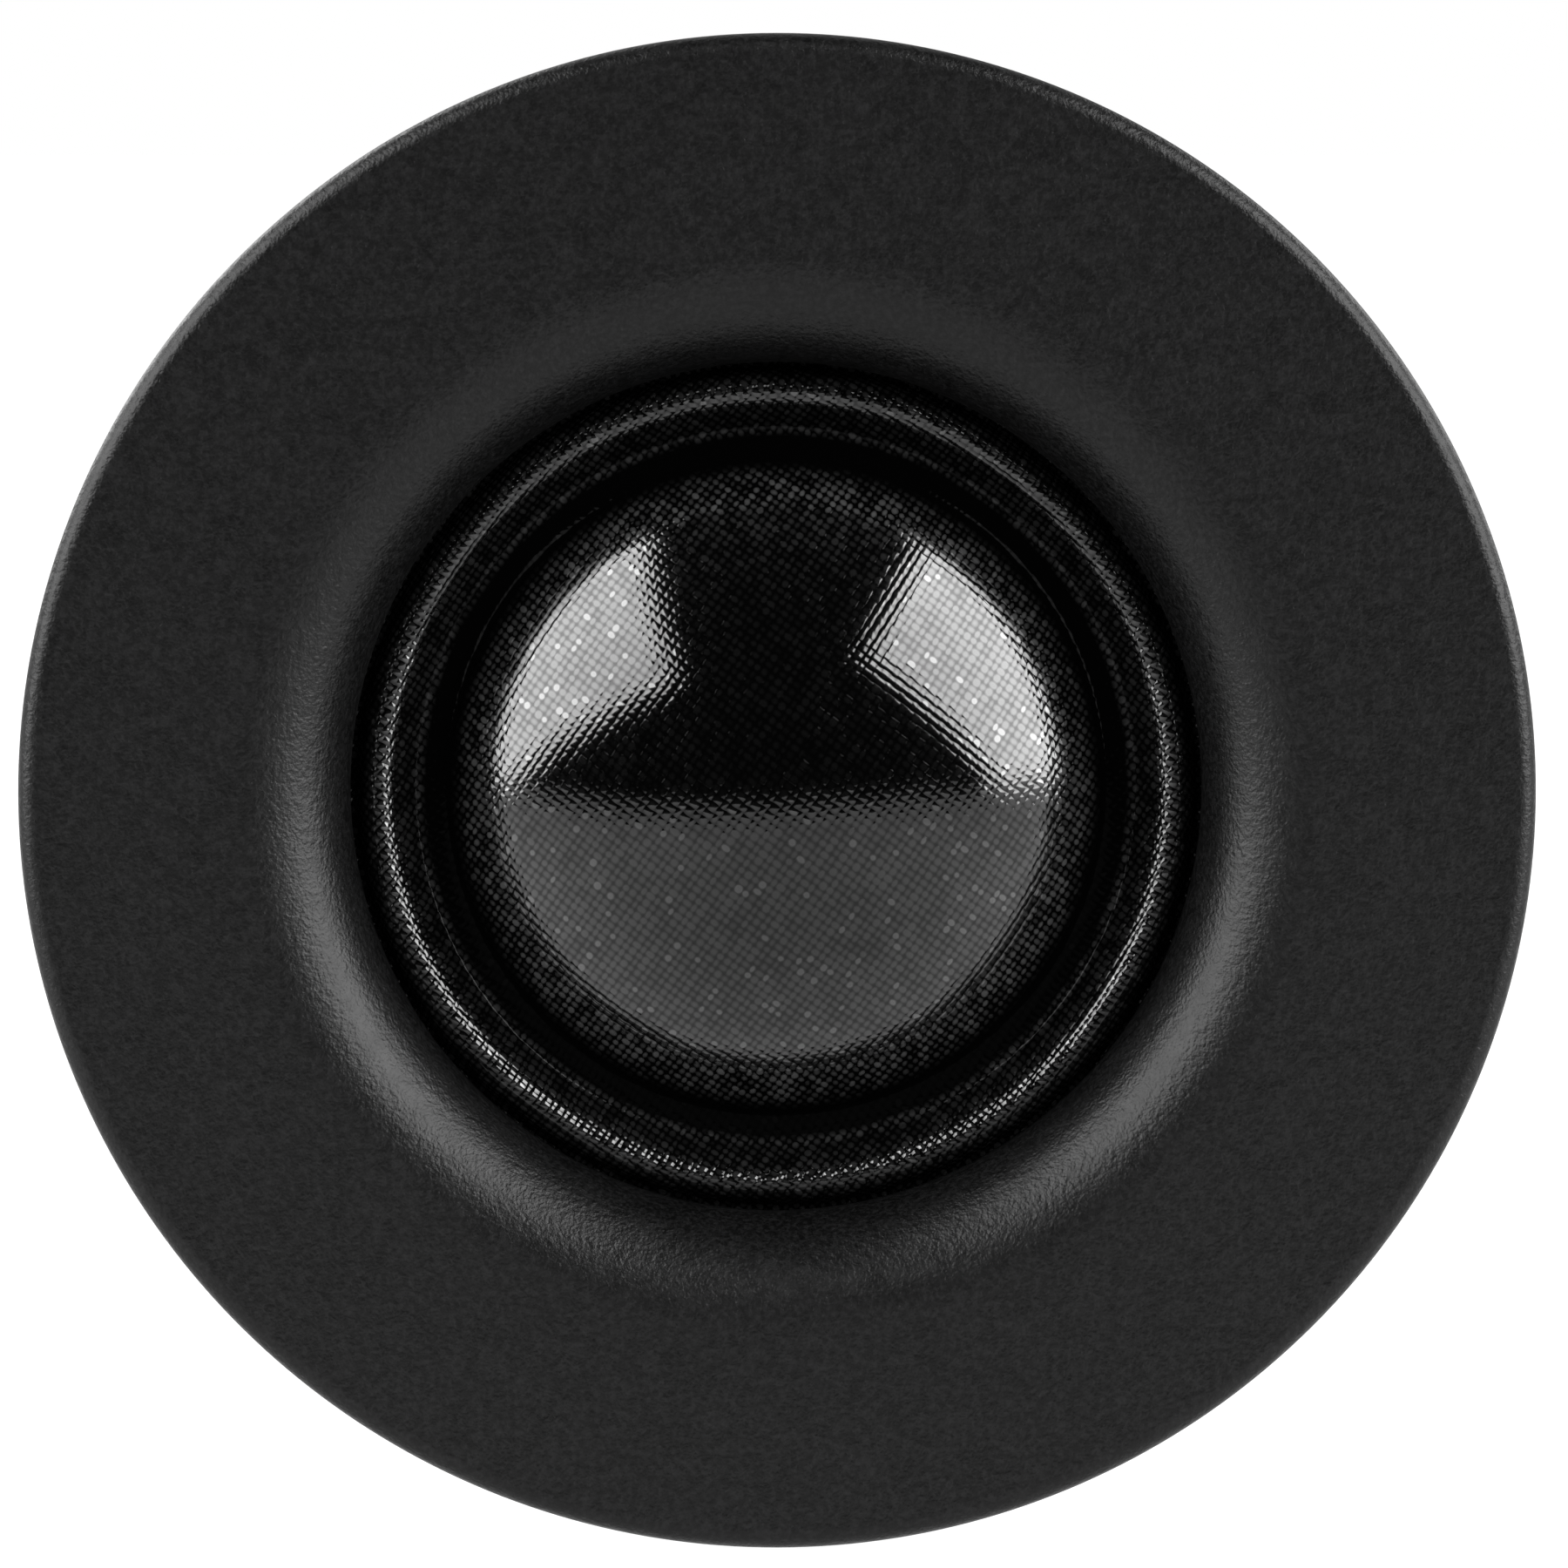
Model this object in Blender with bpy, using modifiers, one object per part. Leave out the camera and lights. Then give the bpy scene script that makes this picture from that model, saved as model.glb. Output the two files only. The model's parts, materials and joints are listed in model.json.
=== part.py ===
"""Car tweeter: soft dome, wide flange, neodymium motor and a rear clamp strap.

Metres, +Z up. The tweeter fires along -Y. The origin is the centre of the plane that rests
on the panel: the back of the flange. Most pieces are turned about the tweeter's axis, so they
are drawn in the axis frame, an empty whose Z runs rearwards (world +Y) and whose Y runs down
(world -Z). There a profile is a list of (radius, depth) points.
"""

import math

import bmesh
import bpy
from mathutils import Matrix, Vector

MM = 0.001

# Driving dimensions
GAP = 0.3 * MM                  # kept between two pieces that rest on each other
COIL_GAP = 0.2 * MM             # clearance of the moving coil
STEPS = 40                      # sides of the large turned pieces
SMALL_STEPS = 16                # sides of the fasteners

FLANGE_RADIUS = 28.5 * MM
FLANGE_THICK = 2.5 * MM
FLANGE_EDGE = 0.6 * MM          # rounding of the flange's front edge
THROAT_RADIUS = 16.1 * MM
SHOULDER_RADIUS = 4.1 * MM      # rounding from the flange's face into the throat
THROAT_END = 2.0 * MM           # depth of the ledge that clamps the surround
SKIRT_INNER = 18.5 * MM
SKIRT_RADIUS = 22.0 * MM        # body that goes through the panel's cut-out
SKIRT_END = 7.0 * MM

COIL_RADIUS = 12.7 * MM         # a one-inch voice coil
VALLEY_DEPTH = 2.3 * MM         # plane of the dome's foot and of the clamped edge
CLOTH_THICK = 0.3 * MM
DOME_CURVE = 18.3 * MM          # radius of the dome's sphere
DOME_FOOT = 12.3 * MM
DOME_EDGE = 13.3 * MM
ROLL_CREST = 15.05 * MM         # radius of the surround's ridge
ROLL_CURVE = 0.65 * MM          # rounding over that ridge
ROLL_HEIGHT = 1.15 * MM
ROLL_INNER_SLOPE = 45           # degrees
ROLL_OUTER_SLOPE = 68
SURROUND_EDGE = 18.2 * MM

CUP_RADIUS = 16.6 * MM
CUP_FRONT = 5.3 * MM
CUP_REAR = 12.8 * MM
CUP_FLAT = 15.0 * MM            # flat under the cup, where the lead wires pass
POLE_THICK = 2.2 * MM
MAGNET_THICK = 2.5 * MM
VENT_RADIUS = 3.0 * MM

HOUSING_INNER = 16.9 * MM
HOUSING_RADIUS = 18.1 * MM
HOUSING_FRONT = 7.8 * MM
LIP_THICK = 1.6 * MM
HOUSING_REAR = 18.2 * MM
REAR_WALL = 1.4 * MM

SCREW_CIRCLE = 20.25 * MM
SCREW_ANGLES = (90, 210, 330)   # degrees, seen from the front
SCREW_SHAFT = 0.8 * MM

TERMINAL_X = 4.6 * MM
TERMINAL_Z = -11.0 * MM

STUD_RADIUS = 2.0 * MM          # an M4 thread
STUD_END = 31.5 * MM
STRAP_THICK = 1.2 * MM
STRAP_WIDTH = 10.0 * MM
STRAP_LEG_X = 24.3 * MM         # inner face of each leg
STRAP_FOOT_X = 28.0 * MM
STRAP_FOOT = 5.0 * MM           # depth of the feet's front: the panel's thickness at rest
STRAP_BRIDGE = 21.4 * MM
NUT_RADIUS = 5.5 * MM
NUT_THICK = 4.0 * MM


def clear_scene():
    for item in list(bpy.data.objects):
        bpy.data.objects.remove(item, do_unlink=True)


def make_collection(name):
    collection = bpy.data.collections.new(name)
    bpy.context.scene.collection.children.link(collection)
    return collection


clear_scene()
TWEETER = make_collection("car_tweeter")
CUTTERS = make_collection("cutters")

AXIS = bpy.data.objects.new("tweeter_axis", None)
AXIS.rotation_euler = (-math.pi / 2, 0, 0)
TWEETER.objects.link(AXIS)


def make_material(name, color, roughness, metallic=0.0):
    material = bpy.data.materials.new(name)
    material.use_nodes = True
    shader = material.node_tree.nodes["Principled BSDF"]
    shader.inputs["Base Color"].default_value = (*color, 1)
    shader.inputs["Roughness"].default_value = roughness
    shader.inputs["Metallic"].default_value = metallic
    material.diffuse_color = (*color, 1)
    return material


MATERIALS = {
    "powder_coat": make_material("powder_coat", (0.018, 0.018, 0.018), 0.5),
    "coated_cloth": make_material("coated_cloth", (0.006, 0.006, 0.006), 0.25),
    "foam": make_material("foam", (0.03, 0.03, 0.03), 0.9),
    "frame_plastic": make_material("frame_plastic", (0.04, 0.04, 0.045), 0.5),
    "housing_plastic": make_material("housing_plastic", (0.02, 0.02, 0.021), 0.45),
    "board": make_material("board", (0.16, 0.09, 0.04), 0.6),
    "felt": make_material("felt", (0.25, 0.24, 0.22), 0.95),
    "zinc_steel": make_material("zinc_steel", (0.55, 0.56, 0.57), 0.35, 1.0),
    "black_steel": make_material("black_steel", (0.05, 0.05, 0.05), 0.4, 1.0),
    "nickel": make_material("nickel", (0.62, 0.6, 0.56), 0.2, 1.0),
    "aluminium": make_material("aluminium", (0.75, 0.76, 0.77), 0.35, 1.0),
    "copper": make_material("copper", (0.72, 0.35, 0.2), 0.3, 1.0),
    "tinned_brass": make_material("tinned_brass", (0.66, 0.6, 0.48), 0.3, 1.0),
    "red_wire": make_material("red_wire", (0.45, 0.02, 0.02), 0.5),
    "black_wire": make_material("black_wire", (0.02, 0.02, 0.02), 0.5),
}


# Making pieces

def finish_piece(piece, material, collection=TWEETER):
    """Link a piece, in the axis frame, and give it its material."""
    collection.objects.link(piece)
    piece.parent = AXIS
    if collection is CUTTERS:
        piece.hide_render = True
        piece.display_type = "WIRE"
        return piece
    piece.data.materials.append(MATERIALS[material])
    if piece.type == "MESH":
        piece.data.shade_smooth()
    return piece


def arc(center, radius, start, end, count):
    """Points on an arc in the (radius, depth) plane, from start to end in degrees."""
    points = []
    for i in range(count + 1):
        angle = math.radians(start + (end - start) * i / count)
        points.append((center[0] + radius * math.cos(angle), center[1] + radius * math.sin(angle)))
    return points


def signed_area(outline):
    pairs = zip(outline, outline[1:] + outline[:1])
    return sum(a[0] * b[1] - b[0] * a[1] for a, b in pairs) / 2


def turned(name, outline, material, steps=STEPS, shell=0.0, collection=TWEETER):
    """Turn a closed outline of (radius, depth) points, or an open one that is a shell's front."""
    outline = list(outline)
    if shell or signed_area(outline) > 0:
        outline.reverse()
    mesh = bpy.data.meshes.new(name)
    edges = [(i, i + 1) for i in range(len(outline) - 1)]
    if not shell and outline[0][0] > 0:
        edges.append((len(outline) - 1, 0))
    mesh.from_pydata([(r, 0, depth) for r, depth in outline], edges, [])
    piece = bpy.data.objects.new(name, mesh)
    screw = piece.modifiers.new("turn", "SCREW")
    screw.steps = screw.render_steps = steps
    screw.use_smooth_shade = True
    screw.use_merge_vertices = True
    screw.merge_threshold = 1e-6
    if shell:
        solid = piece.modifiers.new("shell", "SOLIDIFY")
        solid.thickness = shell
        solid.offset = -1
        solid.use_even_offset = True
    return finish_piece(piece, material, collection)


def box(name, low, high, material, collection=TWEETER):
    """A box between two corners given as (x, z, depth), with z up."""
    bm = bmesh.new()
    bmesh.ops.create_cube(bm, size=1)
    size = [high[i] - low[i] for i in range(3)]
    middle = [(high[i] + low[i]) / 2 for i in range(3)]
    place = Matrix.Translation((middle[0], -middle[1], middle[2]))
    bmesh.ops.transform(bm, matrix=place @ Matrix.Diagonal((*size, 1)), verts=bm.verts)
    mesh = bpy.data.meshes.new(name)
    bm.to_mesh(mesh)
    bm.free()
    piece = finish_piece(bpy.data.objects.new(name, mesh), material, collection)
    piece.data.shade_flat()
    return piece


def rod(name, x, z, radius, start, end, steps=SMALL_STEPS):
    """A cutter: a cylinder along the tweeter's axis, at (x, z), between two depths."""
    bm = bmesh.new()
    bmesh.ops.create_cone(
        bm, cap_ends=True, segments=steps, radius1=radius, radius2=radius, depth=end - start
    )
    mesh = bpy.data.meshes.new(name)
    bm.to_mesh(mesh)
    bm.free()
    piece = finish_piece(bpy.data.objects.new(name, mesh), None, CUTTERS)
    piece.location = (x, -z, (start + end) / 2)
    return piece


def cut(piece, *cutters):
    for cutter in cutters:
        boolean = piece.modifiers.new(cutter.name, "BOOLEAN")
        boolean.operation = "DIFFERENCE"
        boolean.object = cutter


def bevel(piece, width, segments=2):
    modifier = piece.modifiers.new("bevel", "BEVEL")
    modifier.width = width
    modifier.segments = segments
    modifier.limit_method = "ANGLE"
    modifier.angle_limit = math.radians(50)


def ring(inner, outer, front, rear, chamfer=0.0):
    """Outline of a plain ring, with its outer edges chamfered."""
    if not chamfer:
        return [(inner, front), (outer, front), (outer, rear), (inner, rear)]
    return [
        (inner, front),
        (outer - chamfer, front),
        (outer, front + chamfer),
        (outer, rear - chamfer),
        (outer - chamfer, rear),
        (inner, rear),
    ]


def screw_places():
    for angle in SCREW_ANGLES:
        turn = math.radians(angle)
        yield SCREW_CIRCLE * math.cos(turn), SCREW_CIRCLE * math.sin(turn)


# The faceplate and what seals it

def make_faceplate():
    front = -FLANGE_THICK
    recess = -0.8 * MM
    rim = FLANGE_RADIUS
    shoulder = (THROAT_RADIUS + SHOULDER_RADIUS, front + SHOULDER_RADIUS)
    outline = arc(shoulder, SHOULDER_RADIUS, 180, 270, 7)
    outline += arc((rim - FLANGE_EDGE, front + FLANGE_EDGE), FLANGE_EDGE, -90, 0, 3)
    outline += [
        (rim, -0.3 * MM),
        (rim - 0.3 * MM, 0),
        (27.4 * MM, 0),
        (27.4 * MM, recess),
        (22.8 * MM, recess),
        (22.8 * MM, 0),
        (SKIRT_RADIUS, 0),
        (SKIRT_RADIUS, SKIRT_END - 0.4 * MM),
        (SKIRT_RADIUS - 0.4 * MM, SKIRT_END),
        (SKIRT_INNER, SKIRT_END),
        (SKIRT_INNER, THROAT_END),
        (THROAT_RADIUS, THROAT_END),
    ]
    plate = turned("faceplate", outline, "powder_coat")
    for i, (x, z) in enumerate(screw_places(), 1):
        cut(plate, rod(f"thread_cut_{i}", x, z, SCREW_SHAFT + GAP, 3 * MM, SKIRT_END + 1 * MM))


def make_seals():
    turned("panel_gasket", ring(23.1 * MM, 27.1 * MM, -0.5 * MM, 0), "foam")
    front = SKIRT_END + 0.15 * MM
    seal = turned("chamber_seal", ring(18.6 * MM, 21.8 * MM, front, front + 0.5 * MM), "foam")
    for i, (x, z) in enumerate(screw_places(), 1):
        cut(seal, rod(f"seal_cut_{i}", x, z, SCREW_SHAFT + GAP, SKIRT_END, SKIRT_END + 2 * MM))


# The diaphragm: one dome, and the roll of its surround

def make_dome():
    """A spherical cap whose foot curves into the flat ring that the voice coil hangs from."""
    center = VALLEY_DEPTH - 0.25 * MM + math.sqrt(DOME_CURVE**2 - DOME_FOOT**2)
    half = math.degrees(math.asin(DOME_FOOT / DOME_CURVE))
    profile = [(max(r, 0.0), d) for r, d in arc((0, center), DOME_CURVE, -90, half - 90, 8)]
    profile[0] = (0.0, profile[0][1])
    profile += [(DOME_FOOT + 0.2 * MM, VALLEY_DEPTH), (DOME_EDGE, VALLEY_DEPTH)]
    turned("dome", profile, "coated_cloth", shell=CLOTH_THICK)


def make_surround():
    """A narrow roll, steeper outside, between the dome's edge and the clamped outer edge."""
    center = (ROLL_CREST, VALLEY_DEPTH - ROLL_HEIGHT + ROLL_CURVE)
    ridge = arc(center, ROLL_CURVE, -90 - ROLL_INNER_SLOPE, ROLL_OUTER_SLOPE - 90, 8)
    inner_fall = (VALLEY_DEPTH - ridge[0][1]) / math.tan(math.radians(ROLL_INNER_SLOPE))
    outer_fall = (VALLEY_DEPTH - ridge[-1][1]) / math.tan(math.radians(ROLL_OUTER_SLOPE))
    profile = [(ridge[0][0] - inner_fall, VALLEY_DEPTH)] + ridge
    profile += [(ridge[-1][0] + outer_fall, VALLEY_DEPTH), (SURROUND_EDGE, VALLEY_DEPTH)]
    turned("surround", profile, "coated_cloth", shell=CLOTH_THICK)


def make_voice_coil():
    former = (COIL_RADIUS - 0.15 * MM, COIL_RADIUS + 0.05 * MM)
    front = VALLEY_DEPTH + CLOTH_THICK + 0.15 * MM
    turned("voice_coil_former", ring(*former, front, 8.0 * MM), "aluminium")
    winding = (former[1] + 0.1 * MM, former[1] + 0.4 * MM)
    middle = CUP_FRONT + POLE_THICK / 2
    length = 2.6 * MM
    outline = ring(*winding, middle - length / 2, middle + length / 2)
    turned("voice_coil_winding", outline, "copper")


def make_diaphragm_frame():
    front = VALLEY_DEPTH + CLOTH_THICK + GAP
    outline = ring(15.9 * MM, SURROUND_EDGE, front, CUP_FRONT - GAP)
    turned("diaphragm_frame", outline, "frame_plastic")


# The motor

def make_motor():
    pole_inner = COIL_RADIUS + 0.45 * MM + COIL_GAP + 0.1 * MM
    undercut = 14.4 * MM
    base = CUP_FRONT + POLE_THICK + MAGNET_THICK + 2 * GAP
    outline = [
        (CUP_RADIUS, CUP_FRONT),
        (CUP_RADIUS, CUP_REAR - 0.5 * MM),
        (CUP_RADIUS - 0.5 * MM, CUP_REAR),
        (VENT_RADIUS, CUP_REAR),
        (VENT_RADIUS, base),
        (undercut, base),
        (undercut, CUP_FRONT + 2.4 * MM),
        (pole_inner, CUP_FRONT + 2.4 * MM),
        (pole_inner, CUP_FRONT),
    ]
    cup = turned("motor_cup", outline, "zinc_steel")
    low = (-20 * MM, -20 * MM, CUP_FRONT - 1 * MM)
    high = (20 * MM, -CUP_FLAT, CUP_REAR + 1 * MM)
    cut(cup, box("cup_flat_cut", low, high, None, CUTTERS))

    front = CUP_FRONT
    turned("pole_plate", ring(VENT_RADIUS, 11.8 * MM, front, front + POLE_THICK), "black_steel")
    front += POLE_THICK + GAP
    turned("magnet", ring(VENT_RADIUS, 11.5 * MM, front, front + MAGNET_THICK), "nickel")

    cap_top = CUP_FRONT - GAP - 0.25 * MM
    cap_outer = COIL_RADIUS - 0.15 * MM - COIL_GAP
    cap_inner = cap_outer - 0.25 * MM
    outline = [
        (VENT_RADIUS, cap_top),
        (cap_outer, cap_top),
        (cap_outer, CUP_FRONT + POLE_THICK),
        (cap_inner, CUP_FRONT + POLE_THICK),
        (cap_inner, CUP_FRONT - GAP),
        (VENT_RADIUS, CUP_FRONT - GAP),
    ]
    turned("copper_cap", outline, "copper")
    pad_rear = cap_top - GAP
    outline = ring(VENT_RADIUS, 11 * MM, pad_rear - 1.2 * MM, pad_rear, 0.4 * MM)
    turned("dome_damper", outline, "felt")


# The rear housing, its felt, screws and terminals

def terminal_holes(tag, radius, start, end):
    for side, x in (("positive", TERMINAL_X), ("negative", -TERMINAL_X)):
        yield rod(f"{tag}_{side}", x, TERMINAL_Z, radius, start, end)


def make_housing():
    lip = HOUSING_FRONT + LIP_THICK
    outline = [
        (SKIRT_RADIUS, HOUSING_FRONT),
        (SKIRT_RADIUS, lip - 0.3 * MM),
        (SKIRT_RADIUS - 0.3 * MM, lip),
        (HOUSING_RADIUS, lip),
        (HOUSING_RADIUS, HOUSING_REAR - 0.8 * MM),
        (HOUSING_RADIUS - 0.8 * MM, HOUSING_REAR),
        (STUD_RADIUS + GAP, HOUSING_REAR),
        (STUD_RADIUS + GAP, HOUSING_REAR - REAR_WALL),
        (HOUSING_INNER, HOUSING_REAR - REAR_WALL),
        (HOUSING_INNER, HOUSING_FRONT),
    ]
    housing = turned("rear_housing", outline, "housing_plastic")
    for i, (x, z) in enumerate(screw_places(), 1):
        cut(housing, rod(f"lip_cut_{i}", x, z, SCREW_SHAFT + GAP, SKIRT_END, lip + 1 * MM))
    start = HOUSING_REAR - REAR_WALL - 1 * MM
    cut(housing, *terminal_holes("wall_cut", 1.1 * MM, start, HOUSING_REAR + 1 * MM))


def make_chamber_felt():
    front = CUP_REAR + GAP
    felt = turned("chamber_felt", ring(4.5 * MM, 16.4 * MM, front, 15.9 * MM), "felt")
    low = (-7.6 * MM, -18 * MM, front - 1 * MM)
    high = (7.6 * MM, -8 * MM, 17 * MM)
    cut(felt, box("felt_cut", low, high, None, CUTTERS))


def make_screws():
    seat = HOUSING_FRONT + LIP_THICK + GAP
    head = 1.7 * MM
    outline = [
        (0, 3.6 * MM),
        (SCREW_SHAFT, 3.6 * MM),
        (SCREW_SHAFT, seat),
        (head, seat),
        (head, seat + 0.9 * MM),
        (head - 0.4 * MM, seat + 1.3 * MM),
        (0, seat + 1.3 * MM),
    ]
    for i, (x, z) in enumerate(screw_places(), 1):
        screw = turned(f"housing_screw_{i}", outline, "black_steel", SMALL_STEPS)
        screw.location = (x, -z, 0)


def make_terminals():
    front = HOUSING_REAR + GAP
    low = (-8 * MM, -14.6 * MM, front)
    high = (8 * MM, -7.4 * MM, front + 1.2 * MM)
    board = box("terminal_board", low, high, "board")
    bevel(board, 0.4 * MM)
    cut(board, *terminal_holes("board_cut", 1.1 * MM, front - 1 * MM, front + 2 * MM))

    foot = high[2] + GAP
    sheet = 0.6 * MM
    half = 2.4 * MM
    blade_half = 1.4 * MM
    blade_z = -13.8 * MM
    for side, x in (("positive", TERMINAL_X), ("negative", -TERMINAL_X)):
        # A strip bent at a right angle: the riveted foot, then the blade that points rearwards.
        bm = bmesh.new()
        rows = []
        for z, depth, width in (
            (-9 * MM, foot + sheet, half),
            (blade_z + 0.9 * MM, foot + sheet, half),
            (blade_z, foot + sheet, blade_half + 0.4 * MM),
            (blade_z, foot + 2 * MM, blade_half),
            (blade_z, foot + 7 * MM, blade_half),
            (blade_z, foot + 7.8 * MM, blade_half - 0.6 * MM),
        ):
            rows.append([bm.verts.new((x + s * width, -z, depth)) for s in (-1, 1)])
        for a, b in zip(rows, rows[1:]):
            bm.faces.new((a[0], a[1], b[1], b[0]))
        mesh = bpy.data.meshes.new(f"terminal_{side}")
        bm.to_mesh(mesh)
        bm.free()
        tab = bpy.data.objects.new(f"terminal_{side}", mesh)
        finish_piece(tab, "tinned_brass")
        tab.data.shade_flat()
        solid = tab.modifiers.new("sheet", "SOLIDIFY")
        solid.thickness = sheet
        solid.offset = -1
        solid.use_even_offset = True
        cut(tab, rod(f"tab_cut_{side}", x, TERMINAL_Z, 1.1 * MM, foot - 1 * MM, foot + 2 * MM))

        inside = HOUSING_REAR - REAR_WALL - GAP
        outside = foot + sheet + GAP
        outline = [
            (0, inside - 0.4 * MM),
            (1.5 * MM, inside - 0.4 * MM),
            (1.5 * MM, inside),
            (0.8 * MM, inside),
            (0.8 * MM, outside),
            (1.5 * MM, outside),
            (1.2 * MM, outside + 0.4 * MM),
            (0, outside + 0.5 * MM),
        ]
        rivet = turned(f"terminal_rivet_{side}", outline, "tinned_brass", SMALL_STEPS)
        rivet.location = (x, -TERMINAL_Z, 0)


def make_lead_wires():
    """Each wire runs over the flat of the motor cup, from the diaphragm frame to its rivet."""
    rivet_head = HOUSING_REAR - REAR_WALL - GAP - 0.4 * MM
    for side, sign in (("positive", 1), ("negative", -1)):
        route = [
            Vector((sign * 2.5 * MM, 16.0 * MM, CUP_FRONT)),
            Vector((sign * 2.5 * MM, 16.0 * MM, CUP_REAR - 0.6 * MM)),
            Vector((sign * 2.7 * MM, 15.6 * MM, CUP_REAR + 0.9 * MM)),
            Vector((sign * 3.5 * MM, 13.4 * MM, CUP_REAR + 1.6 * MM)),
            Vector((sign * TERMINAL_X, -TERMINAL_Z + 0.7 * MM, CUP_REAR + 2.2 * MM)),
            Vector((sign * TERMINAL_X, -TERMINAL_Z, rivet_head - GAP)),
        ]
        curve = bpy.data.curves.new(f"lead_wire_{side}", "CURVE")
        curve.dimensions = "3D"
        curve.bevel_depth = 0.4 * MM
        curve.bevel_resolution = 1
        curve.use_fill_caps = True
        spline = curve.splines.new("POLY")
        spline.points.add(len(route) - 1)
        for point, place in zip(spline.points, route):
            point.co = (*place, 1)
        wire = bpy.data.objects.new(f"lead_wire_{side}", curve)
        finish_piece(wire, "red_wire" if side == "positive" else "black_wire")


# The clamp behind the panel

def make_stud():
    head = HOUSING_REAR - REAR_WALL - GAP
    outline = [
        (0, head - 1.6 * MM),
        (3.5 * MM, head - 1.6 * MM),
        (3.5 * MM, head),
        (STUD_RADIUS, head),
        (STUD_RADIUS, STUD_END - 0.4 * MM),
        (STUD_RADIUS - 0.4 * MM, STUD_END),
        (0, STUD_END),
    ]
    turned("mounting_stud", outline, "zinc_steel", 20)


def make_clamp_strap():
    """A flat steel strip: two outward feet, two legs and the bridge that the stud goes through."""
    bend = 1.6 * MM
    foot = STRAP_FOOT + STRAP_THICK
    leg = STRAP_LEG_X + STRAP_THICK
    bridge = STRAP_BRIDGE + STRAP_THICK
    half = [(STRAP_FOOT_X, foot)]
    half += arc((leg + 0.6 * MM, foot + 0.6 * MM), 0.6 * MM, -90, -180, 3)
    half += arc((leg - bend, bridge - bend), bend, 0, 90, 4)
    path = half + [(-x, depth) for x, depth in reversed(half)]
    bm = bmesh.new()
    rows = []
    for x, depth in path:
        rows.append([bm.verts.new((x, s * STRAP_WIDTH / 2, depth)) for s in (-1, 1)])
    for a, b in zip(rows, rows[1:]):
        bm.faces.new((a[0], a[1], b[1], b[0]))
    mesh = bpy.data.meshes.new("clamp_strap")
    bm.to_mesh(mesh)
    bm.free()
    strap = finish_piece(bpy.data.objects.new("clamp_strap", mesh), "zinc_steel")
    strap.data.shade_flat()
    solid = strap.modifiers.new("sheet", "SOLIDIFY")
    solid.thickness = STRAP_THICK
    solid.offset = -1
    solid.use_even_offset = True
    start = STRAP_BRIDGE - 1 * MM
    end = bridge + 1 * MM
    cut(strap, rod("strap_cut", 0, 0, STUD_RADIUS + 2 * GAP, start, end, 20))


def make_nut():
    bore = STUD_RADIUS + GAP
    front = STRAP_BRIDGE + STRAP_THICK + GAP
    rear = front + 0.9 * MM
    washer = turned("lock_washer", ring(bore, 3.9 * MM, front, rear), "zinc_steel", 20)
    low = (-0.4 * MM, 1 * MM, front - 1 * MM)
    high = (0.4 * MM, 5 * MM, rear + 1 * MM)
    cut(washer, box("washer_cut", low, high, None, CUTTERS))

    front = rear + GAP
    rear = front + NUT_THICK
    collar = 3.8 * MM
    outline = [
        (bore, front),
        (collar, front),
        (collar, front + 1.0 * MM),
        (NUT_RADIUS - 0.3 * MM, front + 1.0 * MM),
        (NUT_RADIUS, front + 1.3 * MM),
        (NUT_RADIUS, rear - 0.3 * MM),
        (NUT_RADIUS - 0.3 * MM, rear),
        (bore, rear),
    ]
    turned("clamp_nut", outline, "nickel", 24)


make_faceplate()
make_seals()
make_dome()
make_surround()
make_voice_coil()
make_diaphragm_frame()
make_motor()
make_housing()
make_chamber_felt()
make_screws()
make_terminals()
make_lead_wires()
make_stud()
make_clamp_strap()
make_nut()
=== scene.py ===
import json
import math

import bmesh
import bpy
import numpy as np
from mathutils import Matrix, Vector, noise


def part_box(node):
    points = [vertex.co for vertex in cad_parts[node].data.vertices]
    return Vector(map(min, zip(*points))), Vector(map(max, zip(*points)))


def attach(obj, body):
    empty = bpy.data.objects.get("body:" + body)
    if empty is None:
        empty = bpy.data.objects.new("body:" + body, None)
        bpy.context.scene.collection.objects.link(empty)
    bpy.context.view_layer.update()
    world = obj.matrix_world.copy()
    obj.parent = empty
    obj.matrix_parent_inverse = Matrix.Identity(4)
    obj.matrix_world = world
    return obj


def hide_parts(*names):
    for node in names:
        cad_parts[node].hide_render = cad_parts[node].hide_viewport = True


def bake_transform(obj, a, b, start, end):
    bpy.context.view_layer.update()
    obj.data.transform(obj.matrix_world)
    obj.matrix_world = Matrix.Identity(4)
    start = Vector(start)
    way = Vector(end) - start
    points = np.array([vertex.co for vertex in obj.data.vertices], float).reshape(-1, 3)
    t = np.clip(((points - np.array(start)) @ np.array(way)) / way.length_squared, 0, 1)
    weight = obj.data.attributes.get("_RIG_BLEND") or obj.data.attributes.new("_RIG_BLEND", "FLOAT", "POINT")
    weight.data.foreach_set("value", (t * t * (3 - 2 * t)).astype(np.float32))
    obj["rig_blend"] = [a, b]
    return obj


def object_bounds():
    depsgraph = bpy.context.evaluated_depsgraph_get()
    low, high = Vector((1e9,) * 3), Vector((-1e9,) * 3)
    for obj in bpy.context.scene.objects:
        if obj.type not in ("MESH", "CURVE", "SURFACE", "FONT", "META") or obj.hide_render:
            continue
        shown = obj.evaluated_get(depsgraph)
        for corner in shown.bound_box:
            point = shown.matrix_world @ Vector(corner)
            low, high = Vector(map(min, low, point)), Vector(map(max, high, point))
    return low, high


# Car tweeter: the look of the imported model. Metres, +Z up; the tweeter fires along -Y.
# A turned piece is drawn as a list of (radius, depth) points, depth running along +Y.

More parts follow.
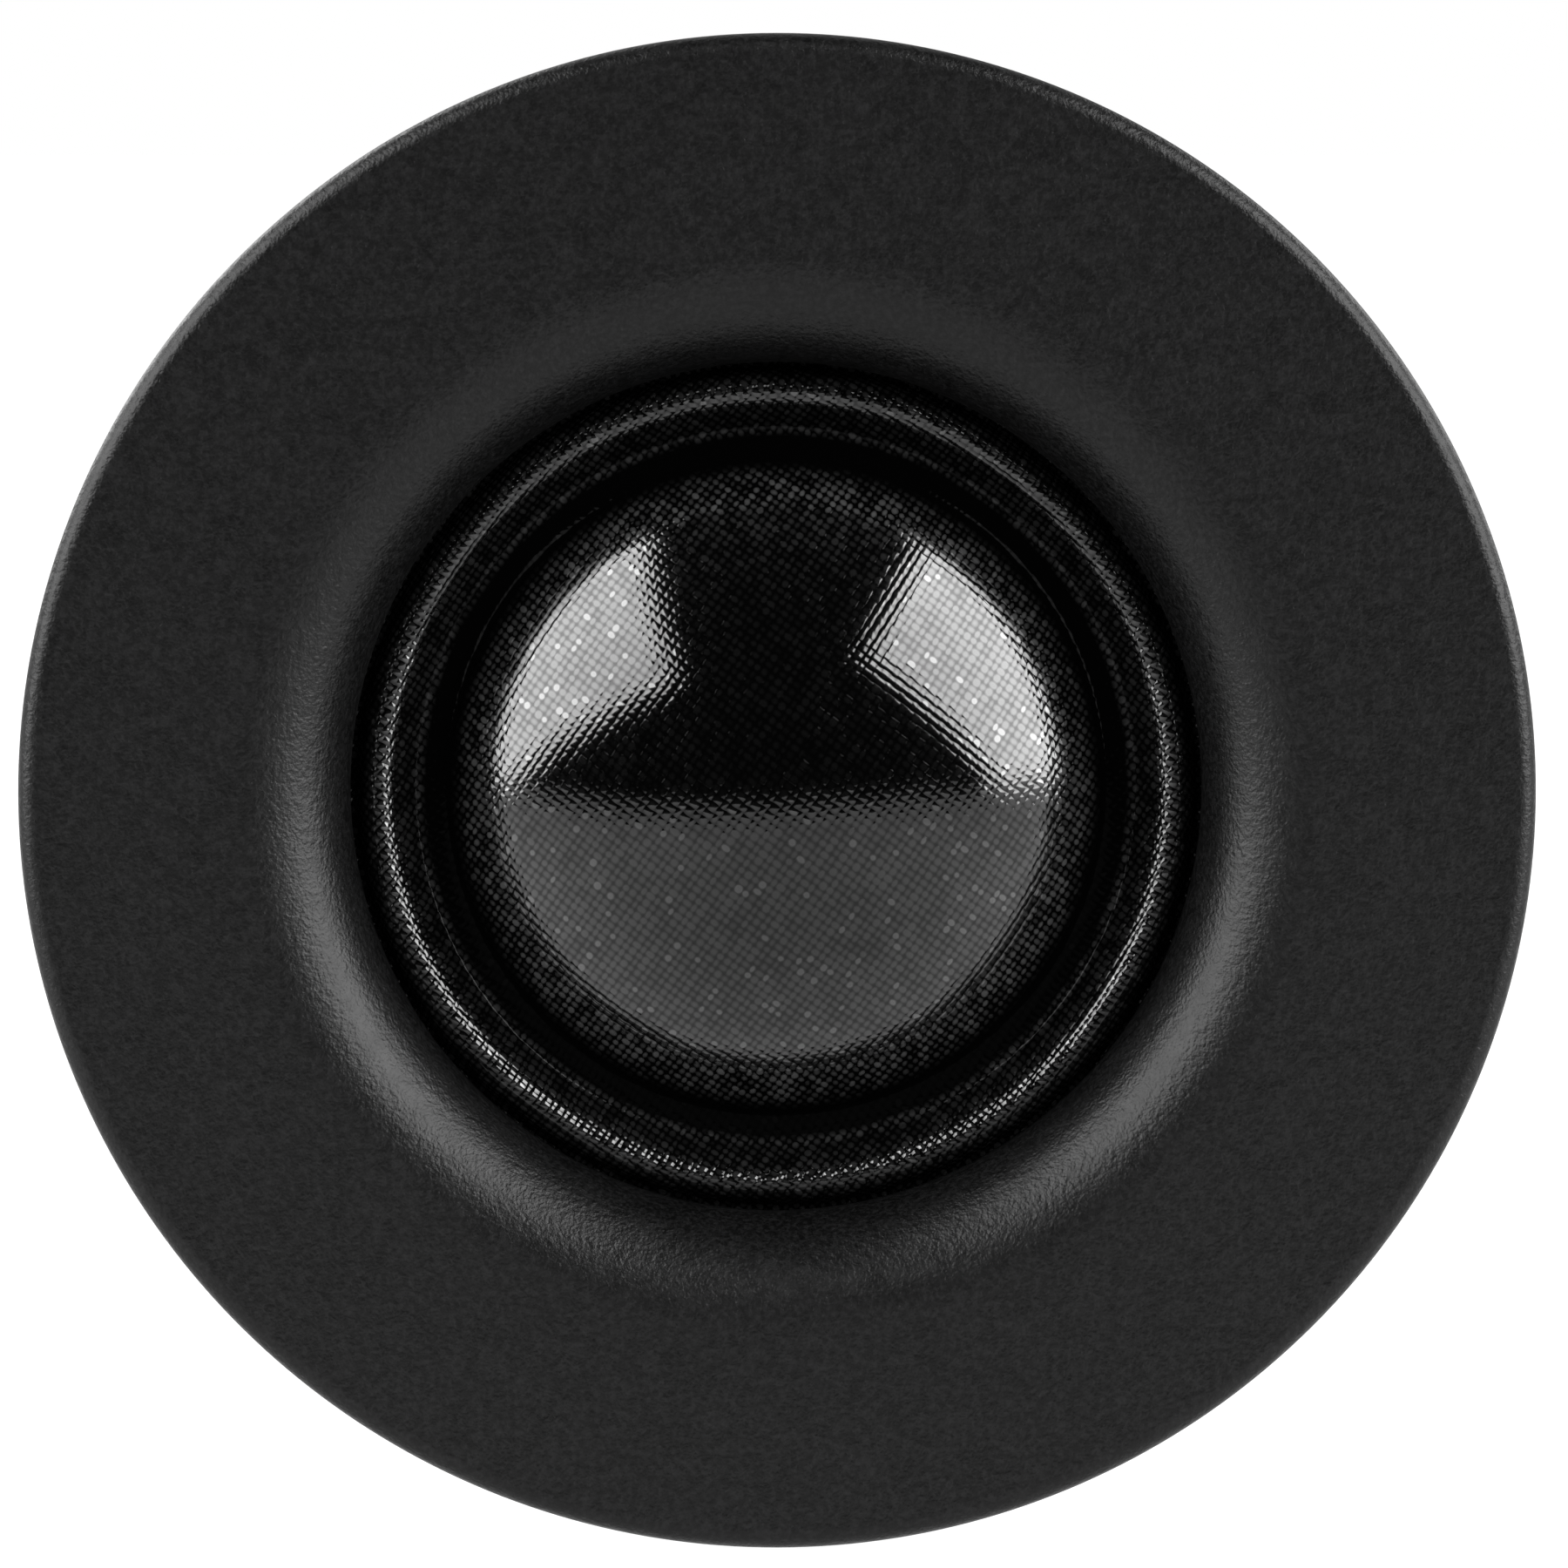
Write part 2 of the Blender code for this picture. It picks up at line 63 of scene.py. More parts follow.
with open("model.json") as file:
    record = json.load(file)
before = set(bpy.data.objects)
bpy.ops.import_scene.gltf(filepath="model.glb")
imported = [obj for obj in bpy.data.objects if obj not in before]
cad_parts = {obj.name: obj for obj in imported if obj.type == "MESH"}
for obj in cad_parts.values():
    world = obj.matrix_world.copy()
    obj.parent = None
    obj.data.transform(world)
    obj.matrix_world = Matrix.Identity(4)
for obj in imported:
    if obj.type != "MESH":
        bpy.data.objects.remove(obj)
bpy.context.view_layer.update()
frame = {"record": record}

MM = 0.001
TURN = 2 * math.pi
PAST = 1 * MM                   # how far a cutter reaches past the face that it cuts
NEAR = 0.001 * MM               # lengths closer than this count as equal
TINY = 1e-9


# Sizes

def span(node):
    """Front depth, rear depth and outer radius of a turned node."""
    low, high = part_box(node)
    return low.y, high.y, (high.x - low.x) / 2


def middle(node):
    low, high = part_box(node)
    return (low + high) / 2


THROAT_RADIUS = 16.1 * MM
SHOULDER_RADIUS = 4.1 * MM
SCREW_HOLE = 1.1 * MM
STUD_BORE = 2.3 * MM
THREAD_PITCH = 0.7 * MM
VALLEY_DEPTH = 2.3 * MM
CLOTH_THICK = 0.25 * MM
DOME_CURVE = 18.3 * MM
DOME_FOOT = 12.1 * MM
DOME_RIM = (12.3 * MM, VALLEY_DEPTH - 0.25 * MM)      # a point of the dome's sphere
DOME_CENTER = DOME_RIM[1] + math.sqrt(DOME_CURVE ** 2 - DOME_RIM[0] ** 2)
VALLEY_INNER = 12.55 * MM
ROLL_CREST = 15.05 * MM
ROLL_CURVE = 0.65 * MM
ROLL_HEIGHT = 1.15 * MM
ROLL_INNER = 13.63 * MM
ROLL_OUTER = 15.95 * MM
THREAD_U = 0.3213 * MM          # spacing of the cloth's two sets of threads
THREAD_V = 0.3280 * MM
ACROSS_U = (math.cos(math.radians(34.5)), -math.sin(math.radians(34.5)))
ACROSS_V = (0.588, 0.809)       # the ways, in x and z, that the threads are counted in
UNEVEN = 0.11                   # every second thread of the first set is a little wider
RELIEF = 0.02 * MM              # how far the mesh itself follows the threads, on the roll

# The cloth's finish by radius in mm: how far the weave stands out of the varnish, how glossy the
# varnish is and how bare the threads are. In the valley the last two are near zero, which paints the
# band black as shade.
CLOTH_FINISH = (
    (0, 0.13, 0.85, 0.01),      # dome
    (6.5, 0.13, 0.85, 0.02),
    (8.3, 0.13, 1.0, 0.03),
    (9.8, 0.13, 1.15, 0.08),
    (10.6, 0.13, 1.2, 0.15),
    (10.85, 0.3, 0.2, 0.38),    # the varnish ends
    (11.6, 0.3, 0.12, 0.28),
    # The valley rows are painted shade: almost no varnish gloss and no lighter thread colour, so the band
    # between dome and roll comes out black.
    (12.2, 0.1, 0.02, 0.0),     # valley
    (13.3, 0.1, 0.02, 0.0),
    (13.55, 0.2, 0.1, 0.16),    # fold at the foot of the roll
    (13.8, 0.25, 0.07, 0.05),
    (14.4, 0.4, 0.1, 0.08),     # roll
    (14.55, 0.65, 1.0, 0.1),
    (14.95, 0.65, 1.0, 0.1),
    (15.1, 0.6, 0.35, 0.1),
    (16.2, 0.4, 0.25, 0.1),
)


# Mesh building

def arc(center, radius, start, sweep, steps):
    """Points on a round bend, with its angles in degrees."""
    for k in range(steps + 1):
        angle = math.radians(start + sweep * k / steps)
        yield center[0] + radius * math.cos(angle), center[1] + radius * math.sin(angle)


def rounded(corners, closed=True):
    """Outline through (radius, depth) or (radius, depth, fillet[, steps]) corners. A point just
    beside each fillet keeps the shading of the flats even."""
    support = 0.05 * MM
    count = len(corners)
    spots = [Vector(corner[:2]) for corner in corners]
    fillets = [corner[2] if len(corner) > 2 else 0.0 for corner in corners]
    if not closed:
        fillets[0] = fillets[-1] = 0.0
    half_angles, reaches = [], []
    for i, here in enumerate(spots):
        back, ahead = spots[i - 1] - here, spots[(i + 1) % count] - here
        half_angles.append(back.angle(ahead) / 2)
        reaches.append(fillets[i] / math.tan(half_angles[i]) if fillets[i] else 0.0)
    shrink = [1.0] * count
    for i in range(count if closed else count - 1):
        j = (i + 1) % count
        need, room = reaches[i] + reaches[j], (spots[j] - spots[i]).length
        if need > room:
            shrink[i] = min(shrink[i], room / need)
            shrink[j] = min(shrink[j], room / need)
    points = []
    for i, here in enumerate(spots):
        if not fillets[i]:
            points.append(tuple(here))
            continue
        steps = corners[i][3] if len(corners[i]) > 3 else 5
        back, ahead = spots[i - 1] - here, spots[(i + 1) % count] - here
        a, b = back.normalized(), ahead.normalized()
        reach = reaches[i] * shrink[i] * 0.999
        center = here + (a + b).normalized() * (reach / math.cos(half_angles[i]))
        start, end = here + a * reach - center, here + b * reach - center
        sweep = start.angle(end)
        if back.length > reach + reaches[i - 1] + 2.5 * support:
            points.append(tuple(here + a * (reach + support)))
        for k in range(steps + 1):
            t = k / steps
            spot = start * (math.sin((1 - t) * sweep) / math.sin(sweep))
            spot = spot + end * (math.sin(t * sweep) / math.sin(sweep))
            points.append(tuple(center + spot))
        if ahead.length > reach + reaches[(i + 1) % count] + 2.5 * support:
            points.append(tuple(here + b * (reach + support)))
    return points


def link(name, mesh):
    piece = bpy.data.objects.new(name, mesh)
    bpy.context.scene.collection.objects.link(piece)
    return piece


def tidy(mesh, angle=32):
    """Face normals outwards, smooth except at real edges."""
    bm = bmesh.new()
    bm.from_mesh(mesh)
    bmesh.ops.recalc_face_normals(bm, faces=bm.faces)
    bm.to_mesh(mesh)
    bm.free()
    mesh.shade_smooth()
    mesh.set_sharp_from_angle(angle=math.radians(angle))


def ring_faces(a, b):
    """Faces between two rings of vertex numbers: equal, one to many, or one to a point."""
    if len(a) == 1 and len(b) == 1:
        return []
    if len(a) == 1 or len(b) == 1:
        point, ring = (a[0], b) if len(a) == 1 else (b[0], a)
        return [(point, ring[j], ring[(j + 1) % len(ring)]) for j in range(len(ring))]
    if len(a) == len(b):
        n = len(a)
        return [(a[j], a[(j + 1) % n], b[(j + 1) % n], b[j]) for j in range(n)]
    few, many = (a, b) if len(a) < len(b) else (b, a)
    ratio, faces = len(many) // len(few), []
    for j, first in enumerate(few):
        second = few[(j + 1) % len(few)]
        row = [many[(j * ratio + k) % len(many)] for k in range(ratio + 1)]
        half = ratio // 2
        faces += [(first, row[k], row[k + 1]) for k in range(half)]
        faces.append((first, row[half], second))
        faces += [(second, row[k], row[k + 1]) for k in range(half, ratio)]
    return faces


def lathe(name, outline, segments=160, warp=None, at=(0, 0), angle=32):
    """Turn a closed outline about the tweeter's axis, or about a line through (x, z)."""
    places, rings = [], []
    for r, depth in outline:
        if r < TINY:
            rings.append([len(places)])
            places.append((at[0], depth, at[1]))
            continue
        rings.append(list(range(len(places), len(places) + segments)))
        for j in range(segments):
            turn = TURN * j / segments
            radius, d = warp(r, depth, turn) if warp else (r, depth)
            places.append((at[0] + radius * math.cos(turn), d, at[1] + radius * math.sin(turn)))
    faces = []
    for i, ring in enumerate(rings):
        if i + 1 < len(rings):
            faces += ring_faces(ring, rings[i + 1])
        elif len(ring) > 1:
            faces += ring_faces(ring, rings[0])
    mesh = bpy.data.meshes.new(name)
    mesh.from_pydata(places, [], faces)
    tidy(mesh, angle)
    return link(name, mesh)


def bored(inner, outer, front, rear, fillet):
    """Rounded outline of a plain ring."""
    return rounded([
        (inner, front, fillet), (outer, front, fillet), (outer, rear, fillet), (inner, rear, fillet)
    ])


def rod(x, z, radius, start, end, segments=40):
    """A solid to cut with: a cylinder along the tweeter's axis."""
    outline = [(0, start), (radius, start), (radius, end), (0, end)]
    return lathe("cutter", outline, segments, at=(x, z))


def block(name, low, high, fillet=0.0, steps=3):
    """A box between two corners, with its edges rounded."""
    bm = bmesh.new()
    bmesh.ops.create_cube(bm, size=1)
    low, high = Vector(low), Vector(high)
    size = high - low
    place = Matrix.Translation((low + high) / 2) @ Matrix.Diagonal((*size, 1))
    bmesh.ops.transform(bm, matrix=place, verts=bm.verts)
    if fillet:
        bmesh.ops.bevel(
            bm, geom=bm.edges[:], offset=fillet, segments=steps, profile=0.5, affect="EDGES"
        )
    mesh = bpy.data.meshes.new(name)
    bm.to_mesh(mesh)
    bm.free()
    tidy(mesh)
    return link(name, mesh)


def settle(piece):
    """Turn the piece's modifiers into its mesh."""
    bpy.context.view_layer.update()
    ready = piece.evaluated_get(bpy.context.evaluated_depsgraph_get())
    mesh = bpy.data.meshes.new_from_object(ready)
    piece.modifiers.clear()
    old, piece.data = piece.data, mesh
    bpy.data.meshes.remove(old)
    mesh.name = piece.name
    tidy(mesh)


def carve(piece, cutters, operation="DIFFERENCE"):
    """Cut solids out of a piece, or join them to it, and remove them."""
    for cutter in cutters:
        boolean = piece.modifiers.new("cut", "BOOLEAN")
        boolean.operation = operation
        boolean.object = cutter
        boolean.solver = "EXACT"
    settle(piece)
    for cutter in cutters:
        bpy.data.objects.remove(cutter)
    return piece


def soften(piece, width, segments=2):
    """Round the edges that are sharper than 40 degrees."""
    bevel = piece.modifiers.new("bevel", "BEVEL")
    bevel.width = width
    bevel.segments = segments
    bevel.limit_method = "ANGLE"
    bevel.angle_limit = math.radians(40)
    settle(piece)


def strip(name, rows, thick):
    """Bent sheet metal: rows of two points across its rear face, thickened towards the front."""
    bm = bmesh.new()
    made = [[bm.verts.new(place) for place in row] for row in rows]
    for a, b in zip(made, made[1:]):
        bm.faces.new((a[0], a[1], b[1], b[0]))
    mesh = bpy.data.meshes.new(name)
    bm.to_mesh(mesh)
    bm.free()
    piece = link(name, mesh)
    solid = piece.modifiers.new("sheet", "SOLIDIFY")
    solid.thickness = thick
    solid.offset = -1 if mesh.polygons[0].normal.y > 0 else 1
    solid.use_even_offset = True
    settle(piece)
    return piece


def rough_up(piece, amount, size):
    """Push every point along its normal by smooth noise."""
    mesh = piece.data
    normals = [v.normal.copy() for v in mesh.vertices]
    for vertex, normal in zip(mesh.vertices, normals):
        vertex.co += normal * (amount * noise.noise(vertex.co / size))
    mesh.update()


# Materials

class Look:
    """A Principled material and short calls for the nodes that drive it."""

    def __init__(self, name, base, roughness, metallic=0.0, **fixed):
        self.material = bpy.data.materials.new(name)
        self.material.use_nodes = True
        self.tree = self.material.node_tree
        self.shader = self.tree.nodes["Principled BSDF"]
        self.shader.inputs["Base Color"].default_value = (*base, 1)
        self.shader.inputs["Roughness"].default_value = roughness
        self.shader.inputs["Metallic"].default_value = metallic
        for socket, value in fixed.items():
            self.shader.inputs[socket.replace("_", " ")].default_value = value
        self.material.diffuse_color = (*base, 1)
        self.position = self.node("ShaderNodeTexCoord").outputs["Object"]

    def node(self, kind, **settings):
        made = self.tree.nodes.new(kind)
        for key, value in settings.items():
            setattr(made, key, value)
        return made

    def feed(self, socket, value):
        """Link a node's output to a socket, or set the socket to a constant."""
        if isinstance(value, bpy.types.NodeSocket):
            self.tree.links.new(value, socket)
        else:
            socket.default_value = value

    def math(self, operation, a, b=0.0, c=0.0):
        made = self.node("ShaderNodeMath", operation=operation)
        for socket, value in zip(made.inputs, (a, b, c)):
            self.feed(socket, value)
        return made.outputs[0]

    def stretch(self, factors):
        """The object's coordinates, scaled along each axis."""
        made = self.node("ShaderNodeVectorMath", operation="MULTIPLY")
        self.feed(made.inputs[0], self.position)
        made.inputs[1].default_value = factors
        return made.outputs[0]

    def noise(self, size, detail=2.0, rough=0.5, where=None):
        """Noise between 0 and 1 whose blotches are about size across."""
        made = self.node("ShaderNodeTexNoise")
        self.feed(made.inputs["Vector"], where or self.position)
        made.inputs["Scale"].default_value = 1 / size
        made.inputs["Detail"].default_value = detail
        made.inputs["Roughness"].default_value = rough
        return made.outputs["Fac"]

    def cells(self, size):
        """Distance to the nearest of points that lie about size apart."""
        made = self.node("ShaderNodeTexVoronoi")
        self.feed(made.inputs["Vector"], self.position)
        made.inputs["Scale"].default_value = 1 / size
        return made.outputs["Distance"]

    def between(self, value, low, high, to_low, to_high):
        """A value from low to high, mapped and clamped to the range of the last two."""
        made = self.node("ShaderNodeMapRange")
        names = ("Value", "From Min", "From Max", "To Min", "To Max")
        for name, number in zip(names, (value, low, high, to_low, to_high)):
            self.feed(made.inputs[name], number)
        return made.outputs["Result"]

    def colors(self, value, *stops):
        """A ramp through (place, colour) stops."""
        made = self.node("ShaderNodeValToRGB")
        self.feed(made.inputs["Fac"], value)
        ramp = made.color_ramp.elements
        while len(ramp) < len(stops):
            ramp.new(0.5)
        for element, (place, color) in zip(ramp, stops):
            element.position = place
            element.color = (*color, 1)
        return made.outputs["Color"]

    def bump(self, height, depth):
        made = self.node("ShaderNodeBump")
        made.inputs["Strength"].default_value = 1.0
        made.inputs["Distance"].default_value = depth
        self.feed(made.inputs["Height"], height)
        return made.outputs["Normal"]

    def drive(self, **sockets):
        """Feed the shader's sockets, named with underscores, and give the material."""
        for socket, value in sockets.items():
            self.feed(self.shader.inputs[socket.replace("_", " ")], value)
        return self.material


def powder_coat():
    look = Look("fine_black_powder_coat", (0.0011, 0.0011, 0.0011), 0.4, Specular_IOR_Level=0.225)
    coarse = look.noise(0.28 * MM, 2.0, 0.6)
    fine = look.noise(0.13 * MM, 1.0, 0.5)
    height = look.math("MULTIPLY_ADD", fine, 0.6, coarse)
    mottle = look.noise(0.2 * MM, 2.0, 0.7)
    return look.drive(
        Base_Color=look.colors(mottle, (0.42, (0.0,) * 3), (0.68, (0.0044, 0.0044, 0.0045))),
        Roughness=look.between(look.noise(0.9 * MM, 3.0), 0.3, 0.7, 0.37, 0.43),
        Normal=look.bump(height, 0.034 * MM),
    )


def varnished_cloth():
    """Plain-woven cloth under black varnish. The mesh's weave attribute holds the two thread
    numbers and how much of the weave stands out of the varnish. Its varnish attribute holds how
    glossy the varnish is and how much bare thread shows through it. In the valley both are turned
    down to nearly nothing, a painted shade that keeps that band black."""
    look = Look(
        "varnished_black_cloth", (0.0006, 0.0006, 0.0006), 0.5, Coat_IOR=1.7,
        Coat_Roughness=0.06, Specular_IOR_Level=0.0,
    )
    weave = look.node("ShaderNodeAttribute", attribute_name="weave")
    parts = look.node("ShaderNodeSeparateXYZ")
    look.feed(parts.inputs[0], weave.outputs["Vector"])
    u, v, relief = parts.outputs
    varnish = look.node("ShaderNodeAttribute", attribute_name="varnish")
    layers = look.node("ShaderNodeSeparateXYZ")
    look.feed(layers.inputs[0], varnish.outputs["Vector"])
    gloss, bare_and_shade, _ = layers.outputs
    column, row = look.math("FLOOR", u), look.math("FLOOR", v)

    def crown(value):
        return look.math("SINE", look.math("MULTIPLY", look.math("FRACT", value), math.pi))

    def wave(number, along):
        sign = look.math("COSINE", look.math("MULTIPLY", number, math.pi))
        swing = look.math("SINE", look.math("MULTIPLY", along, math.pi))
        return look.math("MULTIPLY", sign, swing)

    warp = look.math("MULTIPLY_ADD", wave(column, v), 0.4, look.math("MULTIPLY", crown(u), 0.6))
    weft = look.math("MULTIPLY_ADD", wave(row, u), -0.4, look.math("MULTIPLY", crown(v), 0.6))
    height = look.math("MAXIMUM", warp, weft)
    lumps = look.noise(0.9 * MM, 2.0)
    cell = look.node("ShaderNodeCombineXYZ")
    look.feed(cell.inputs[0], column)
    look.feed(cell.inputs[1], row)
    chance = look.node("ShaderNodeTexWhiteNoise", noise_dimensions="2D")
    look.feed(chance.inputs["Vector"], cell.outputs[0])
    luck = chance.outputs["Value"]
    height = look.math("MULTIPLY", height, look.between(luck, 0, 1, 0.85, 1.15))
    height = look.math("MULTIPLY_ADD", lumps, 0.5, height)
    proud = look.math("MULTIPLY", height, relief)
    drop = look.math("GREATER_THAN", luck, 0.93)
    pooled = look.math("MULTIPLY", drop, look.between(height, 0.95, 1.15, 0.0, 0.4))
    gap = look.between(height, 0.6, 1.1, 0.4, 0.76)
    coat = look.math("MULTIPLY", look.math("ADD", gap, pooled), gloss)
    # Lighter colour of bare thread crowns. It is zero in the valley, which is painted shade.
    thread = look.math("MULTIPLY", look.between(height, 0.8, 1.2, 0.0, 1.0), bare_and_shade)
    thread = look.math("MULTIPLY", thread, look.between(luck, 0, 1, 0.6, 1.4))
    return look.drive(
        Base_Color=look.colors(thread, (0.0, (0.0005,) * 3), (1.0, (0.07,) * 3)),
        Normal=look.bump(proud, 0.085 * MM),
        Coat_Normal=look.bump(proud, 0.055 * MM),
        Coat_Weight=coat,
    )


def foam():
    look = Look("closed_cell_foam", (0.022, 0.022, 0.023), 0.9, Specular_IOR_Level=0.25)
    pores = look.cells(0.35 * MM)
    tint = look.colors(look.noise(1.2 * MM, 3.0), (0.3, (0.014,) * 3), (0.7, (0.034,) * 3))
    return look.drive(Base_Color=tint, Normal=look.bump(pores, 0.12 * MM))


def moulded(name, base, roughness):
    """Plastic from a spark-eroded mould."""
    look = Look(name, base, roughness, Specular_IOR_Level=0.4)
    spark = look.noise(0.16 * MM, 2.0, 0.65)
    flow = look.noise(5 * MM, 3.0)
    darker = tuple(c * 0.7 for c in base)
    lighter = tuple(c * 1.35 for c in base)
    return look.drive(
        Base_Color=look.colors(flow, (0.3, darker), (0.7, lighter)),
        Roughness=look.between(flow, 0.3, 0.7, roughness - 0.05, roughness + 0.07),
        Normal=look.bump(spark, 0.016 * MM),
    )


def board():
    look = Look("phenolic_board", (0.16, 0.085, 0.035), 0.5)
    fibre = look.noise(0.5 * MM, 4.0, 0.6, look.stretch((0.25, 1.0, 1.6)))
    tint = look.colors(
        fibre, (0.25, (0.085, 0.042, 0.016)), (0.55, (0.17, 0.09, 0.036)), (0.8, (0.27, 0.15, 0.07))
    )
    return look.drive(
        Base_Color=tint,
        Roughness=look.between(fibre, 0.3, 0.7, 0.42, 0.6),
        Normal=look.bump(fibre, 0.02 * MM),
    )


def felt():
    look = Look(
        "pressed_wool_felt", (0.25, 0.24, 0.22), 0.95, Specular_IOR_Level=0.1, Sheen_Weight=0.4,
        Sheen_Roughness=0.6,
    )
    fuzz = look.noise(0.35 * MM, 6.0, 0.75)
    hair = look.noise(0.25 * MM, 3.0, 0.6, look.stretch((0.3, 1.4, 1.1)))
    height = look.math("ADD", fuzz, look.math("MULTIPLY", hair, 0.7))
    tint = look.colors(
        look.noise(0.6 * MM, 5.0, 0.8), (0.3, (0.13, 0.125, 0.115)), (0.52, (0.25, 0.24, 0.22)),
        (0.75, (0.4, 0.385, 0.35)),
    )
    return look.drive(Base_Color=tint, Normal=look.bump(height, 0.12 * MM))


def metal(name, dark, light, roughness, grain=(1.0, 1.0, 1.0)):
    """Plated or bare metal: cloudy plating, fine drawn grain and slightly uneven gloss."""
    look = Look(name, light, roughness, 1.0)
    cloud = look.noise(3.2 * MM, 4.0, 0.6)
    lines = look.noise(0.5 * MM, 4.0, 0.6, look.stretch(grain))
    scuff = look.noise(0.9 * MM, 5.0, 0.7)
    low, high = max(roughness - 0.1, 0.05), roughness + 0.12
    return look.drive(
        Base_Color=look.colors(cloud, (0.28, dark), (0.72, light)),
        Roughness=look.between(scuff, 0.3, 0.7, low, high),
        Normal=look.bump(lines, 0.004 * MM),
    )


def sleeve(name, base):
    look = Look(name, base, 0.42)
    soft = look.noise(1.5 * MM, 3.0)
    return look.drive(
        Base_Color=look.colors(soft, (0.3, tuple(c * 0.75 for c in base)), (0.7, base)),
        Roughness=look.between(soft, 0.3, 0.7, 0.34, 0.52),
        Normal=look.bump(look.noise(0.2 * MM, 2.0), 0.006 * MM),
    )


LOOKS = {
    "powder_coat": powder_coat(),
    "coated_cloth": varnished_cloth(),
    "foam": foam(),
    "frame_plastic": moulded("moulded_frame", (0.03, 0.03, 0.032), 0.5),
    "housing_plastic": moulded("moulded_housing", (0.0125, 0.0125, 0.0135), 0.46),
    "board": board(),
    "felt": felt(),
    "zinc_steel": metal(
        "zinc_plated_steel", (0.3, 0.31, 0.33), (0.47, 0.48, 0.49), 0.33, (1.0, 1.0, 0.08)
    ),
    "black_steel": metal("black_oxide_steel", (0.02, 0.02, 0.023), (0.055, 0.055, 0.06), 0.36),
    "nickel": metal("satin_nickel", (0.4, 0.385, 0.35), (0.55, 0.53, 0.49), 0.24),
    "aluminium": metal("drawn_aluminium", (0.6, 0.61, 0.62), (0.78, 0.79, 0.8), 0.34),
    "copper": metal("bare_copper", (0.55, 0.24, 0.12), (0.78, 0.4, 0.25), 0.28),
    "tinned_brass": metal(
        "tin_plated_brass", (0.5, 0.47, 0.39), (0.7, 0.66, 0.56), 0.27, (1.0, 0.12, 1.0)
    ),
    "red_wire": sleeve("red_insulation", (0.42, 0.016, 0.013)),
    "black_wire": sleeve("black_insulation", (0.016, 0.016, 0.017)),
}

BODY_OF = {n: b for b, ns in frame["record"]["behaviour"]["bodies"].items() for n in ns}
SLOT_OF = {row["node"]: row["material_slot"] for row in frame["record"]["subparts"]}


def dress(piece, slot):
    piece.data.materials.clear()
    piece.data.materials.append(LOOKS[slot])


def stand_for(piece, node):
    """The piece takes the node's place, its body and its finish."""
    dress(piece, SLOT_OF[node])
    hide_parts(node)
    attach(piece, BODY_OF[node])
    return piece


# Front: the faceplate, its gasket and its seal

def screw_spots():
    """Number, x and z of each housing screw."""
    for number in (1, 2, 3):
        spot = middle(f"housing_screw_{number}")
        yield number, spot.x, spot.z


def make_faceplate():
    front, skirt_end, rim = span("faceplate")
    recess_low, recess_high = 22.8 * MM, 27.4 * MM
    skirt = 22.0 * MM
    ledge_inner, ledge = 18.5 * MM, 2.0 * MM
    recess = -0.8 * MM
    hole_bottom = 3 * MM
    nick = (0.08 * MM, 2)
    outline = rounded([
        (THROAT_RADIUS, front, SHOULDER_RADIUS, 40),
        (rim, front, 0.7 * MM, 16),
        (rim, 0, 0.3 * MM, 5),
        (recess_high, 0, *nick),
        (recess_high, recess, *nick),
        (recess_low, recess, *nick),
        (recess_low, 0, *nick),
        (skirt, 0, 0.12 * MM, 3),
        (skirt, skirt_end, 0.4 * MM, 4),
        (ledge_inner, skirt_end, 0.1 * MM, 2),
        (ledge_inner, ledge),
        (THROAT_RADIUS, ledge, 0.12 * MM, 4),
    ])
    plate = lathe("faceplate_body", outline, 320)
    holes = [rod(x, z, SCREW_HOLE, hole_bottom, skirt_end + PAST) for _, x, z in screw_spots()]
    stand_for(carve(plate, holes), "faceplate")


def make_seals():
    front, rear, outer = span("panel_gasket")
    inner = 23.1 * MM
    gasket = lathe("panel_gasket_foam", bored(inner, outer, front, rear, 0.06 * MM), 240)
    stand_for(gasket, "panel_gasket")
    front, rear, outer = span("chamber_seal")
    inner = 18.6 * MM
    seal = lathe("chamber_seal_foam", bored(inner, outer, front, rear, 0.08 * MM))
    holes = [rod(x, z, SCREW_HOLE, front - PAST, rear + PAST) for _, x, z in screw_spots()]
    stand_for(carve(seal, holes), "chamber_seal")


# The diaphragm: dome and surround in one moulding of cloth

def weave_height(u, v):
    """Height of plain weave, 0 to 1, at thread numbers u and v."""
    column, row = np.floor(u), np.floor(v)
    warp = 0.6 * np.sin(np.pi * (u - column)) + 0.4 * np.cos(np.pi * column) * np.sin(np.pi * v)
    weft = 0.6 * np.sin(np.pi * (v - row)) - 0.4 * np.cos(np.pi * row) * np.sin(np.pi * u)
    return np.maximum(warp, weft)


def diaphragm_line():
    """The moulding's front, from its centre to its clamped edge, as (radius, depth) points."""
    line = []
    top, dome_steps = math.asin(DOME_FOOT / DOME_CURVE), 60
    for i in range(dome_steps + 1):
        angle = top * i / dome_steps
        line.append((DOME_CURVE * math.sin(angle), DOME_CENTER - DOME_CURVE * math.cos(angle)))
    roll_center = (ROLL_CREST, VALLEY_DEPTH - ROLL_HEIGHT + ROLL_CURVE)
    roll = list(arc(roll_center, ROLL_CURVE, -135, 113, 56))
    edge = span("surround")[2]
    line += rounded([
        line[-1], (VALLEY_INNER, VALLEY_DEPTH, 0.4 * MM, 6),
        (ROLL_INNER, VALLEY_DEPTH, 0.14 * MM, 5), roll[0],
    ], closed=False)[1:-1]
    line += roll
    line += rounded([
        roll[-1], (ROLL_OUTER, VALLEY_DEPTH, 0.15 * MM, 5), (edge, VALLEY_DEPTH),
    ], closed=False)[1:]
    return np.array(line)


def smooth_step(x, low, high):
    t = np.clip((x - low) / (high - low), 0, 1)
    return t * t * (3 - 2 * t)


def on_roll(r):
    """How much of the threads' relief the mesh has: 1 on the roll, 0 beside it."""
    return smooth_step(r, 13.5 * MM, 14.0 * MM) * (1 - smooth_step(r, 15.8 * MM, 16.05 * MM))


